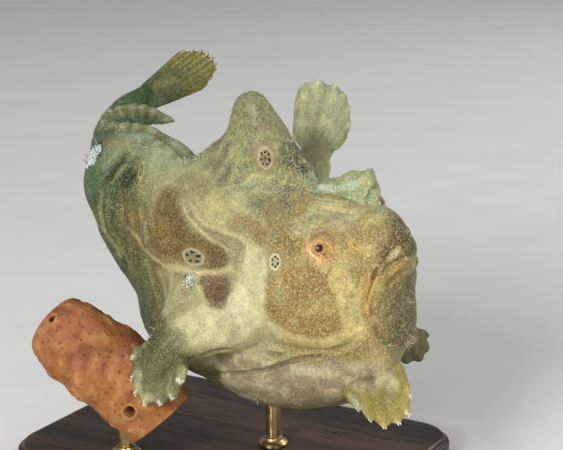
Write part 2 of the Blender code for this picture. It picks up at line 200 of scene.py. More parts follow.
def stained_wood():
    """Dark stained hardwood: long noise for the growth rings, short thin streaks for the pores."""
    material, tree, shader = new_material("stained_hardwood", Coat_Weight=0.15, Coat_Roughness=0.2,
                                          Specular_IOR_Level=0.3)
    place = object_place(tree)
    rings = noise(tree, stretched(tree, place, WOOD_RING_SCALE), 1.0, 5.0, 0.6)
    pore = between(tree, noise(tree, stretched(tree, place, WOOD_PORE_SCALE), 1.0, 2.0), 0.56, 0.68)
    colour = blended(tree, between(tree, rings, 0.34, 0.68), WOOD_DARK, WOOD_WARM)
    colour = blended(tree, product(tree, pore, 0.75), colour, WOOD_PORE)
    tree.links.new(colour, shader.inputs["Base Color"])
    rough = arithmetic(tree, "ADD", between(tree, rings, 0.3, 0.7, 0.42, 0.3), product(tree, pore, 0.2))
    tree.links.new(rough, shader.inputs["Roughness"])
    bump_into(tree, shader, product(tree, pore, -1.0), 0.00006)
    return material


base.data.materials.append(stained_wood())

# Rods. Two short brass rods, one under the belly and one under the perch, turned,
# polished and left to age a little. Each stands in a low turned collar on the base.
COLLAR = [
    (0.0, 3.6), (0.25, 3.9), (0.9, 3.9), (1.25, 3.6), (1.45, 2.9), (1.9, 2.55), (2.4, 2.45), (2.6, 2.15),
]
ROD_SUNK = 1.2                  # how far a rod's top stands inside what it carries
ROD_SIDES = 48
ROD_CLEARANCE = 0.05
SHARP_EDGE = math.radians(40)
BRASS_YELLOW = (0.64, 0.47, 0.22, 1)
BRASS_BROWN = (0.36, 0.23, 0.10, 1)
BRASS_MARK_SCALE = (150, 150, 9000)     # waves to a metre across, across and up the rod


def turned(profile, centre, sides=ROD_SIDES):
    """A turned piece: each height and radius of the profile makes one ring about the upright axis,
    and the first and last rings are closed by a flat face."""
    height, radius = np.array(profile, float).T
    angle = np.linspace(0, 2 * np.pi, sides, endpoint=False)
    ring = np.stack([np.cos(angle), np.sin(angle), np.zeros(sides)], -1)
    points = centre + ring * radius[:, None, None] + np.array([0, 0, 1]) * height[:, None, None]
    points = points.reshape(-1, 3)
    faces = outward(points, ring_faces(len(profile), sides))
    ends = [list(range(sides))[::-1], list(range(len(points) - sides, len(points)))]
    return points, faces.tolist() + ends


def make_rod(node):
    """A rod with its collar, placed and sized from its node in the frame."""
    low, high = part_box(node)
    top_of_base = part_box("stand_base")[1].z / MM
    centre = np.array([(low.x + high.x) / 2, (low.y + high.y) / 2, 0.0]) / MM
    radius = (high.x - low.x) / 2 / MM
    profile = [(top_of_base + ROD_CLEARANCE, radius), (high.z / MM + ROD_SUNK, radius)]
    rod = add_piece(node.replace("stand_rod", "stand_turned_rod"), *scaled(turned(profile, centre)))
    raised = [(top_of_base + height, width) for height, width in COLLAR]
    collar = add_piece(node.replace("stand_rod", "stand_collar"), *scaled(turned(raised, centre)))
    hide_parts(node)
    for piece in (rod, collar):
        piece.data.set_sharp_from_angle(angle=SHARP_EDGE)
        piece.data.materials.append(brass)
        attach(piece, "root")


def scaled(shape):
    """A shape's points turned from millimetres into metres."""
    points, faces = shape
    return points * MM, faces


def aged_brass():
    """Brass with fine turning marks round it and a few duller, browner clouds."""
    material, tree, shader = new_material("aged_brass", Metallic=1.0)
    place = object_place(tree)
    dull = between(tree, noise(tree, place, 420.0, 3.0), 0.45, 0.68)
    marks = noise(tree, stretched(tree, place, BRASS_MARK_SCALE), 1.0, 1.0)
    tree.links.new(blended(tree, dull, BRASS_YELLOW, BRASS_BROWN), shader.inputs["Base Color"])
    rough = arithmetic(tree, "ADD", between(tree, marks, 0.3, 0.7, 0.2, 0.34), product(tree, dull, 0.2))
    tree.links.new(rough, shader.inputs["Roughness"])
    bump_into(tree, shader, marks, 0.00002, 0.5)
    return material


brass = aged_brass()
for rod_node in ("stand_rod_body", "stand_rod_perch"):
    make_rod(rod_node)

# Perch. A cut length of a finger sponge, a firm porous animal without bones. Its skin
# is a fine felt of spicules over a bumpy body, with round openings that let water out.
EYE_PLACE = np.array([25.8, 14.4, 8.0])
eye_low, eye_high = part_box("eye_left")
FISH_ORIGIN = np.array((eye_low + eye_high) / 2) / MM - EYE_PLACE
PERCH = [
    (-47, -25, -21, 9.5), (-39, -26, -24.5, 10.8), (-29, -25.5, -29.5, 11.0), (-21, -23.5, -36, 10.4),
    (-17, -22, -41, 9.8),
]


def placed(points):
    """Points of the fish's own frame, in millimetres, put into the frame in metres."""
    return (np.asarray(points) + FISH_ORIGIN) * MM


def smooth_path(stations, count):
    """Points on a smooth curve through the stations: a cubic blend of each four neighbours."""
    rows = np.array(stations, float)
    padded = np.vstack([2 * rows[0] - rows[1], rows, 2 * rows[-1] - rows[-2]])
    along = np.linspace(0, len(rows) - 1, count)
    first = np.minimum(along.astype(int), len(rows) - 2)
    t = (along - first)[:, None]
    a, b, c, d = (padded[first + step] for step in range(4))
    return 0.5 * (2 * b + (c - a) * t + (2 * a - 5 * b + 4 * c - d) * t ** 2
                  + (3 * b - a - 3 * c + d) * t ** 3)


def unit(vectors):
    """Vectors scaled to length one."""
    return vectors / np.maximum(np.linalg.norm(vectors, axis=-1, keepdims=True), 1e-12)


def tube_rings(rows, sides, round_ends=0, reference=(0.3, 1.0, 0.2)):
    """A round profile carried along a path of x, y, z and radius: each ring lies across the
    path's direction. Round ends add rings whose radius falls as a quarter circle."""
    rows = np.array(rows, float)
    if round_ends:
        turn = np.linspace(0, np.pi / 2, round_ends + 1)[1:, None]
        start, end = unit(rows[0, :3] - rows[1, :3]), unit(rows[-1, :3] - rows[-2, :3])
        before = np.hstack([rows[0, :3] + start * rows[0, 3] * np.sin(turn), rows[0, 3] * np.cos(turn)])
        after = np.hstack([rows[-1, :3] + end * rows[-1, 3] * np.sin(turn), rows[-1, 3] * np.cos(turn)])
        rows = np.vstack([before[::-1], rows, after])
    centre, radius = rows[:, :3], np.maximum(rows[:, 3], 0.01)
    forward = unit(np.gradient(centre, axis=0))
    side = unit(np.cross(forward, np.array(reference)))
    up = np.cross(side, forward)
    angle = np.linspace(0, 2 * np.pi, sides, endpoint=False)[:, None]
    return centre[:, None] + radius[:, None, None] * (np.cos(angle) * side[:, None]
                                                      + np.sin(angle) * up[:, None])


def closed_shell(rings):
    """A grid of closed rings as points and faces, with a pole in the middle of each end."""
    rows, columns = rings.shape[:2]
    points = np.vstack([rings.reshape(-1, 3), rings[0].mean(0), rings[-1].mean(0)])
    faces = outward(points, ring_faces(rows, columns))
    around = np.arange(columns)
    beside = np.roll(around, -1)
    last = (rows - 1) * columns
    first_fan = np.stack([beside, around, np.full(columns, rows * columns)], -1)
    last_fan = np.stack([around + last, beside + last, np.full(columns, rows * columns + 1)], -1)
    fans = np.vstack([first_fan, last_fan])
    if faces[0, 0] != 0:
        fans = fans[:, ::-1]
    return points, faces.tolist() + fans.tolist()


def step(low, high, value):
    """A smooth step from 0 at low to 1 at high."""
    t = np.clip((value - low) / (high - low), 0, 1)
    return t * t * (3 - 2 * t)


def lattice_noise(points, cell, seed):
    """Smooth noise from -1 to 1: random values on a cubic lattice, blended across each cell
    by a smooth step of the place within it."""
    spot = np.asarray(points) / cell + 512.0
    corner = np.floor(spot).astype(int)
    share = spot - corner
    share = share * share * (3 - 2 * share)
    lattice = np.random.default_rng(seed).uniform(-1, 1, (32, 32, 32))
    total = np.zeros(len(spot))
    for offset in np.ndindex(2, 2, 2):
        weight = np.prod(np.where(offset, share, 1 - share), axis=1)
        x, y, z = ((corner + offset) % 32).T
        total += weight * lattice[x, y, z]
    return total


PERCH_RINGS, PERCH_SIDES = 230, 210
PERCH_END_SHARES = [0.12, 0.3, 0.5, 0.68, 0.82, 0.91, 0.96, 0.985]
PERCH_END_BULGE = 0.7
# Openings of the sponge: share along, angle round in degrees, radius
OPENINGS = [(0.16, 215, 1.5), (0.31, 120, 1.1), (0.42, 255, 1.7), (0.55, 20, 1.3), (0.60, 175, 1.2),
            (0.74, 300, 1.6), (0.86, 95, 1.3), (0.90, 215, 1.0), (0.08, 330, 1.2)]
SPONGE_ORANGE = (0.34, 0.135, 0.040)
SPONGE_PINK = (0.38, 0.145, 0.070)
SPONGE_PALE = (0.50, 0.26, 0.095)
SPONGE_SHADE = (0.11, 0.035, 0.012)
FELT_SHADE = (0.62, 0.42, 0.26, 1)
FELT_PALE = (0.52, 0.27, 0.10, 1)
FELT_PORE = (0.10, 0.03, 0.01, 1)


def painted(tone, *coats):
    """Coats laid one over another: each moves the tone towards its colour by each point's share."""
    for colour, share in coats:
        tone = tone + (np.array(colour) - tone) * np.clip(share, 0, 1)[:, None]
    return tone


def write_tone(mesh, name, colours):
    """Keep a colour for each vertex in the mesh."""
    layer = mesh.attributes.new(name, "FLOAT_COLOR", "POINT")
    values = np.ones((len(colours), 4))
    values[:, :colours.shape[1]] = colours
    layer.data.foreach_set("color", values.ravel())


def make_perch():
    """A tube carried along the perch's path, closed by slightly domed cut ends, with bumps of
    three sizes and openings: each opening is a rim of a bell curve round a sunken middle."""
    rows = smooth_path(PERCH, PERCH_RINGS)
    start, end = unit(rows[0, :3] - rows[1, :3]), unit(rows[-1, :3] - rows[-2, :3])
    shares = np.array(PERCH_END_SHARES)[:, None]
    bulge = PERCH_END_BULGE * (1 - shares ** 2)
    first = np.hstack([rows[0, :3] + start * bulge, rows[0, 3] * shares])
    last = np.hstack([rows[-1, :3] + end * bulge, rows[-1, 3] * shares])[::-1]
    rows = np.vstack([first, rows, last])
    rings = tube_rings(rows, PERCH_SIDES)
    out = unit(rings - rows[:, None, :3])
    grid = rings.reshape(-1, 3)
    lumps = lattice_noise(grid, 6.5, 11)
    bumps = lattice_noise(grid, 2.3, 12)
    felt = lattice_noise(grid, 0.9, 13)
    lift = 0.75 * lumps + 0.5 * np.maximum(bumps, 0) ** 1.5 + 0.1 * felt
    at_end = np.repeat(np.isin(np.arange(len(rows)), [0, len(rows) - 1]), PERCH_SIDES)
    count = len(PERCH_END_SHARES)
    cut = np.zeros(len(rows))
    cut[:count - 1], cut[-count + 1:] = 1, 1
    cut = np.repeat(cut, PERCH_SIDES)
    rim, hole = np.zeros(len(grid)), np.zeros(len(grid))
    for share, turn, radius in OPENINGS:
        row = count + int(share * PERCH_RINGS)
        column = int(turn / 360 * PERCH_SIDES)
        gap = np.linalg.norm(grid - rings[row, column], axis=1)
        rim = np.maximum(rim, np.exp(-((gap - radius) / 0.7) ** 2))
        hole = np.maximum(hole, 1 - step(0.55 * radius, 1.05 * radius, gap))
    lift = (lift + 0.6 * rim - 3.4 * hole) * (1 - cut) * (1 - at_end)
    points, faces = closed_shell((grid + out.reshape(-1, 3) * lift[:, None]).reshape(rings.shape))
    perch = add_piece("perch_sponge", placed(points), faces)

    # Paler on the raised bumps, darker between them and in the sunken openings: painted light and shade
    # that follow the relief, over the sponge's mottled orange and pink.
    tone = painted(
        np.broadcast_to(SPONGE_ORANGE, grid.shape),
        (SPONGE_PINK, step(-0.2, 0.5, lattice_noise(grid, 8, 14))),
        (SPONGE_PALE, 0.55 * step(0.05, 0.7, bumps) + 0.3 * step(0.1, 0.7, felt)),
        (SPONGE_SHADE, 0.5 * step(0.1, 0.8, -bumps)),
        (SPONGE_PALE, 0.6 * cut + 0.75 * rim),
        (SPONGE_SHADE, 0.95 * hole))
    poles = np.array([SPONGE_PALE, SPONGE_PALE])
    write_tone(perch.data, "tone", np.vstack([tone, poles]))
    return perch


def kept(tree, name):
    """A socket with a colour that the mesh keeps under this name."""
    return add_node(tree, "Attribute", attribute_name=name).outputs["Color"]


def sponge_felt():
    """The sponge's soft skin: its painted tone, sprinkled with fine pores and a felt of fibres."""
    material, tree, shader = new_material("sponge_felt", Roughness=0.82, Specular_IOR_Level=0.25,
                                          Subsurface_Weight=0.15, Subsurface_Radius=(1.0, 0.45, 0.25),
                                          Subsurface_Scale=0.0012)
    place = object_place(tree)
    pores = add_node(tree, "TexVoronoi", {"Vector": place, "Scale": 560.0}).outputs["Distance"]
    felt = noise(tree, place, 1500.0, 4.0)
    pore = between(tree, pores, 0.12, 0.3, 1.0, 0.0)
    shade = between(tree, felt, 0.3, 0.7, 0.0, 0.5)
    colour = blended(tree, shade, kept(tree, "tone"), FELT_SHADE, "MULTIPLY")
    colour = blended(tree, between(tree, felt, 0.52, 0.75, 0.0, 0.3), colour, FELT_PALE)
    colour = blended(tree, product(tree, pore, 0.45), colour, FELT_PORE)
    tree.links.new(colour, shader.inputs["Base Color"])
    bump_into(tree, shader, arithmetic(tree, "SUBTRACT", felt, pore), 0.00022, 0.8)
    return material


perch = make_perch()
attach(perch, "root")
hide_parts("perch")
perch.data.materials.append(sponge_felt())

# Fish: the form. One moist granular skin over head, trunk, tail, spines and fins. Like a
# museum cast it is one seamless surface: round masses, tapering limbs and rayed fins are
# grown together, softened where they meet, and then modelled with folds, lips and rims.
FINE_VOXEL = 0.37
CORE_VOXEL = 0.8
CORE_ROUNDS = 40
SKIN_TRIANGLES = 195000

# Masses of the body: centre, half-sizes, nose-up tilt in degrees
MASSES = {
    "head": ((18.5, 0, -3), (24.5, 20, 23), 0),
    "snout": ((31, 0, 5.5), (13.2, 12, 12), 0),
    "jaw": ((31, 0, -10), (12.4, 14.5, 16.5), 8),
    "throat": ((9, 0, -24.5), (31, 16, 15.2), 4),
    "belly": ((-12, 0, -16), (24, 17.5, 19.5), 0),
    "trunk": ((-10, 0, 4), (27, 18, 21), 0),
    "nape": ((-1.5, 0, 19), (18.9, 9, 12.8), 0),
    "loin": ((-25, 0.5, -4), (18.9, 14, 16), -30),
    "rump": ((-33.6, 1, 11), (22.6, 13.5, 17), -25),
}
# Tapering limbs: x, y, z and radius at each station
TAIL_ROOT = [(-38, 2, 15, 13), (-48, 7, 19, 9.5), (-55, 14, 21, 7.8), (-58.8, 21, 25, 6.4),
             (-58.5, 26, 29, 5.4), (-57, 30, 32, 4.2)]
RIGHT_SHOULDER = [(-9, -6, 2, 9), (-9.5, -11, -5, 9), (-10, -16.5, -11.5, 8), (-11, -22.5, -17, 6.3),
                  (-11.8, -27, -21, 5)]
THIRD_SPINE = [(-0.5, 0, 19, 14.5), (-0.7, 0, 27, 12.3), (-1.4, 0, 34.5, 8.2), (-2.3, 0, 40, 5.6),
               (-2.6, 0, 43.2, 3.8)]
THIRD_SPINE_FLATTENING = 0.6
LIMBS = {
    "right_arm":  [(3, -11, -12, 10), (-4.5, -19, -15, 7.8), (-10, -25.5, -18.5, 6.2), (-12, -29, -23.5, 4.8),
        (-12.4, -31.2, -28, 2.8)],
    "left_arm":  [(1, 12, -8, 10), (-2, 20, 0, 7.8), (-1.8, 27, 9, 6.2), (-1.6, 31.2, 16, 5),
        (-1.6, 34, 23, 3.4), (-1.6, 36, 29, 1.6)],
    "right_shank":  [(35, -5, -18, 5.5), (39.5, -7.5, -21.5, 3.4), (43, -10.5, -25, 1.6)],
    "left_shank":  [(34, 5, -16, 5.5), (37.5, 9, -18, 3.6), (37.5, 13.5, -21.5, 1.4)],
}
# Rayed fins: a root line in the body, an edge line, and how the sheet between them is built
FINS = {
    "second_spine": dict(root=[(14, 0, 14), (20, 0, 15), (27, 0, 13.5), (31.6, 0, 12.5)],
        edge=[(15.6, -0.6, 19.8), (19.4, -1, 21.6), (22.8, 0, 22.9), (26.2, 0, 24.7), (27.8, 0, 25.2),
        (29.4, 0, 24.9), (31, 0, 25.9), (32.2, 0, 26), (33, 0, 24.2), (33.3, 0, 21.8), (32.8, -0.5, 19)],
        rays=5, thickness=4.4, tooth=0.4, ridge=0.06, rim=0.72),
    "soft_dorsal": dict(root=[(-19, 0, 17), (-33, 1.5, 17), (-44, 5, 17), (-53, 11, 20), (-55, 16, 22.5),
        (-54, 20, 25), (-49.5, 22, 26.5), (-45.5, 21, 27)], edge=[(-21, 0, 25.8), (-36, 3, 30.1),
        (-45, 6, 29.6), (-54, 8.6, 28.6), (-58.6, 12.5, 29.8), (-57.2, 16, 31.4), (-52, 19, 32.2),
        (-46, 19, 31.4), (-37.6, 18, 28.6)], rays=13, thickness=2.9, tooth=0.25, ridge=0.1, rim=0.6),
    "caudal": dict(root=[(-62.5, 28, 31), (-58, 27.5, 28), (-53, 28.5, 29)], edge=[(-48.5, 36.5, 45.6),
        (-41.5, 39.2, 45.4), (-38.2, 40, 41.2), (-41.6, 38.6, 34.6)], rays=9, thickness=1.8, bow=-1.2,
        tooth=1.1, ridge=0.3, rim=0.6),
    "anal": dict(root=[(-31, 3, -1), (-38, 6, 4), (-46, 11, 11)], edge=[(-33, 8, -14), (-40, 12.5, -11.5),
        (-47, 17.5, -2), (-50, 18, 6)], rays=8, thickness=1.8, tooth=1.1, ridge=0.3, rim=0.6),
    "right_hand": dict(root=[(-17.5, -27, -19), (-11.5, -27.5, -20), (-5.5, -27.5, -18.5)],
        edge=[(-19.5, -29.5, -19.6), (-18.9, -31.5, -25.6), (-17.3, -33, -30.2), (-14.1, -33, -33.3),
        (-8.2, -33.5, -31.6), (-4.6, -33.2, -28.6), (-3.4, -31.5, -22.5)], rays=7, thickness=3.8, bow=0.8,
        tooth=0.9, ridge=0.05, rim=0.6),
    "left_hand": dict(root=[(-7.2, 33, 22.5), (-1.8, 32, 18.5), (3.4, 33, 20.3)], edge=[(-9.2, 36, 24),
        (-10.2, 38, 31.3), (-9.2, 38.5, 38.2), (-4.6, 39, 39.8), (1.4, 39, 38.8), (4.5, 39, 36.5),
        (6, 38.5, 32.2), (6.2, 37.5, 27.4), (4.2, 35.5, 23)], rays=9, thickness=3.2, bow=0.8, tooth=0.9,
        ridge=0.05, rim=0.62),
    "right_foot": dict(root=[(46, -9.5, -18), (39.5, -11, -24), (31.5, -9.5, -28)], edge=[(49.6, -13, -22.5),
        (51, -15, -26.5), (50.6, -16, -29.8), (48.2, -16, -32), (44.8, -16, -33.6), (40.8, -15, -33.2),
        (37.2, -13.8, -32), (33.5, -12, -30.6)], rays=6, thickness=2.2, bow=0.6, tooth=1.0, ridge=0.2,
        rim=0.55),
    "left_foot": dict(root=[(39.8, 8.6, -15.6), (37.5, 11, -19), (33, 11, -23)], edge=[(42, 13, -17.3),
        (40.4, 17.5, -21.5), (38.6, 20.3, -27), (35, 20.7, -29.6), (31.5, 18.4, -29), (28.8, 14, -26.4)],
        rays=5, thickness=2.2, bow=0.6, tooth=1.7, ridge=0.2, rim=0.55),
}
COLUMNS_PER_RAY = 12
FIN_ROWS = 30


def ellipsoid_rings(centre, half_sizes, tilt, steps=40):
    """Rings of an ellipsoid from its back pole to its front one, turned nose-up by the tilt:
    x is minus the cosine along, y and z are the sine along times the cosine and sine around."""
    along = np.linspace(0, np.pi, steps + 1)[1:-1, None]
    around = np.linspace(0, 2 * np.pi, 2 * steps, endpoint=False)[None]
    x = -half_sizes[0] * np.cos(along) * np.ones_like(around)
    y = half_sizes[1] * np.sin(along) * np.cos(around)
    z = half_sizes[2] * np.sin(along) * np.sin(around)
    turn = math.radians(tilt)
    turned_x = x * math.cos(turn) - z * math.sin(turn)
    turned_z = x * math.sin(turn) + z * math.cos(turn)
    return np.stack([turned_x, y, turned_z], -1) + np.array(centre, float)


def fin_sheet(root, edge, rays, tooth, bow=0.0, **_):
    """The middle surface of a fin, ruled from its root line to its edge line. A ray lies
    where the cosine of its count is lowest; the edge stands out there by the tooth, and
    the sheet bows sideways by a half sine. Returns points, share along, share out, ridge."""
    columns = rays * COLUMNS_PER_RAY + 1
    roots, edges = smooth_path(root, columns), smooth_path(edge, columns)
    along = np.linspace(0, 1, columns)[:, None]
    out = np.linspace(0, 1, FIN_ROWS)[None]
    ridge = 0.5 - 0.5 * np.cos(2 * np.pi * rays * along) * np.ones_like(out)
    line = edges - roots
    length = np.linalg.norm(line, axis=1)[:, None]
    side = unit(np.cross(edges[-1] - edges[0], line))
    reach = out * (1 + tooth * (ridge - 0.5) / length * out)
    points = (roots[:, None] + line[:, None] * reach[..., None]
              + side[:, None] * (bow * np.sin(np.pi * out))[..., None])
    return points, along * np.ones_like(out), out * np.ones_like(along), ridge


def fin_rings(thickness, ridge, rim, **shape):
    """A fin as rings, one for each column: out along one face and back along the other.
    Its thickness falls from root to rim, swells on the rays and rounds off at the edge."""
    points, along, out, on_ray = fin_sheet(**shape)
    normal = unit(np.cross(np.gradient(points, axis=0), np.gradient(points, axis=1)))
    rounding = np.sqrt(np.clip(1 - ((out - 0.93) / 0.07).clip(0) ** 2, 0.02, 1))
    rounding *= np.sqrt(np.clip(1 - ((np.abs(2 * along - 1) - 0.95) / 0.05).clip(0) ** 2, 0.04, 1))
    half = thickness / 2 * (1 - (1 - rim) * out) * (1 + ridge * (2 * on_ray - 1) * np.minimum(1, 2 * out))
    offset = normal * (half * rounding)[..., None]
    return np.concatenate([points + offset, (points - offset)[:, ::-1]], axis=1)


def combined(shapes):
    """Several shapes as one list of points and one of faces."""
    start, all_points, all_faces = 0, [], []
    for points, faces in shapes:
        all_points.append(points)
        all_faces += [[corner + start for corner in face] for face in faces]
        start += len(points)
    return np.vstack(all_points), all_faces


def applied(piece):
    """Apply a piece's modifiers and put the mesh that they give in place of its own."""
    bpy.context.view_layer.update()
    graph = bpy.context.evaluated_depsgraph_get()
    mesh = bpy.data.meshes.new_from_object(piece.evaluated_get(graph))
    piece.modifiers.clear()
    piece.data = mesh
    return mesh


def read_points(mesh):
    """A mesh's vertices as an array, in metres."""
    points = np.empty(len(mesh.vertices) * 3)
    mesh.vertices.foreach_get("co", points)
    return points.reshape(-1, 3)


def read_normals(mesh):
    """A mesh's vertex normals as an array."""
    normals = np.empty(len(mesh.vertices) * 3)
    mesh.vertex_normals.foreach_get("vector", normals)
    return normals.reshape(-1, 3)


def write_points(mesh, points):
    """Move a mesh's vertices to these places, in metres."""
    mesh.vertices.foreach_set("co", points.ravel())
    mesh.update()


def grown_together(name, shapes, voxel):
    """One closed surface round several closed shapes, drawn on a fine even grid."""
    points, faces = combined(shapes)
    piece = add_piece(name, points * MM, faces)
    remesh = piece.modifiers.new("grow", "REMESH")
    remesh.mode = "VOXEL"
    remesh.voxel_size = voxel * MM
    applied(piece)
    return piece


def relaxed(mesh, rounds, strength):
    """Smooth a mesh: in each round every vertex moves towards the mean of its neighbours by its strength."""
    points = read_points(mesh)
    edges = np.empty(len(mesh.edges) * 2, int)
    mesh.edges.foreach_get("vertices", edges)
    one, other = edges.reshape(-1, 2).T
    ends, partners = np.concatenate([one, other]), np.concatenate([other, one])
    count = len(points)
    neighbours = np.bincount(ends, minlength=count)[:, None]
    strength = np.broadcast_to(strength, (count,))[:, None]
    for _ in range(rounds):
        total = np.stack([np.bincount(ends, points[partners, axis], count) for axis in range(3)], 1)
        points = points + strength * (total / neighbours - points)
    write_points(mesh, points)


def make_core():
    """The body without arms and fins: round masses, tail root and third spine, well softened."""
    shapes = [closed_shell(ellipsoid_rings(*mass)) for mass in MASSES.values()]
    shapes += [closed_shell(tube_rings(smooth_path(rows, 40), 48, 5)) for rows in (TAIL_ROOT, RIGHT_SHOULDER)]
    spine = tube_rings(smooth_path(THIRD_SPINE, 30), 48)
    spine[..., 1] *= THIRD_SPINE_FLATTENING
    shapes.append(closed_shell(spine))
    core = grown_together("core", shapes, CORE_VOXEL)
    relaxed(core.data, CORE_ROUNDS, 0.5)
    return core


def within(points, track, reach):
    """The numbers of the points inside the box round a track, widened by the reach."""
    return np.flatnonzero(np.all((points > track.min(0) - reach) & (points < track.max(0) + reach), axis=1))


def fin_places(points):
    """Where each point lies on the fins: the fin's number or -1, the share along its root,
    the share out to its edge and how far it is on a ray, read from the nearest point of the fin's sheet."""
    number = np.full(len(points), -1)
    along, out, ray = np.zeros((3, len(points)))
    nearest = np.full(len(points), np.inf)
    for index, shape in enumerate(FINS.values()):
        sheet, *shares = fin_sheet(**shape)
        sheet = sheet[::2].reshape(-1, 3)
        reach = shape["thickness"] * 0.75 + 0.5
        inside = within(points, sheet, reach)
        for block in np.array_split(inside, max(1, len(inside) // 2000)):
            gaps = (points[block] ** 2).sum(1)[:, None] + (sheet ** 2).sum(1) - 2 * points[block] @ sheet.T
            best = gaps.argmin(1)
            gap = np.sqrt(np.maximum(gaps[np.arange(len(block)), best], 0))
            hit = (gap < reach) & (gap < nearest[block])
            chosen, best = block[hit], best[hit]
            nearest[chosen] = gap[hit]
            number[chosen] = index
            for target, share in zip((along, out, ray), shares):
                target[chosen] = share[::2].reshape(-1)[best]
    return number, along, out, ray


FILLET_ROUNDS = 45
FIN_ROUNDS = 2


def make_skin():
    """Core, arms and fins grown into one surface. The places where they meet are softened
    into fillets, while the outer fins keep their rays."""
    core = make_core()
    core_points = read_points(core.data) / MM
    core_faces = np.empty(len(core.data.polygons) * 4, int)
    core.data.loops.foreach_get("vertex_index", core_faces)
    bpy.data.objects.remove(core)
    shapes = [(core_points, core_faces.reshape(-1, 4).tolist())]
    shapes += [closed_shell(tube_rings(smooth_path(rows, 40), 40, 5)) for rows in LIMBS.values()]
    shapes += [closed_shell(fin_rings(**shape)) for shape in FINS.values()]
    skin = grown_together("fish_skin", shapes, FINE_VOXEL)
    number, _, out, _ = fin_places(read_points(skin.data) / MM)
    strength = np.where(number >= 0, 0.5 * (1 - step(0.12, 0.35, out)), 0.5)
    relaxed(skin.data, FILLET_ROUNDS, strength)
    relaxed(skin.data, FIN_ROUNDS, 0.4)
    return skin


skin = make_skin()

# Fish: folds. The caster works these into the soft surface after the masses: the lips and the
# lobes beside the mouth, the lids over the eyes, the long fold along the throat and the
# wrinkles round the spines and the bent tail. Those on both sides are given for the right one.
EYE_RADIUS = 3.0
EYE_RIGHT = np.array([25.8, -14.4, 8.0])
LOOK = np.array([0.485, -0.840, 0.242])          # the way the right eye faces
LID_LONG = np.array([0.855, 0.398, -0.332])      # along the opening of the lids
LID_HALF_LENGTH, LID_HALF_WIDTH = 2.75, 2.05
LID_BALL = (0.2, 0.5, -0.3, 3.6)                 # centre in the eye's own axes, and radius
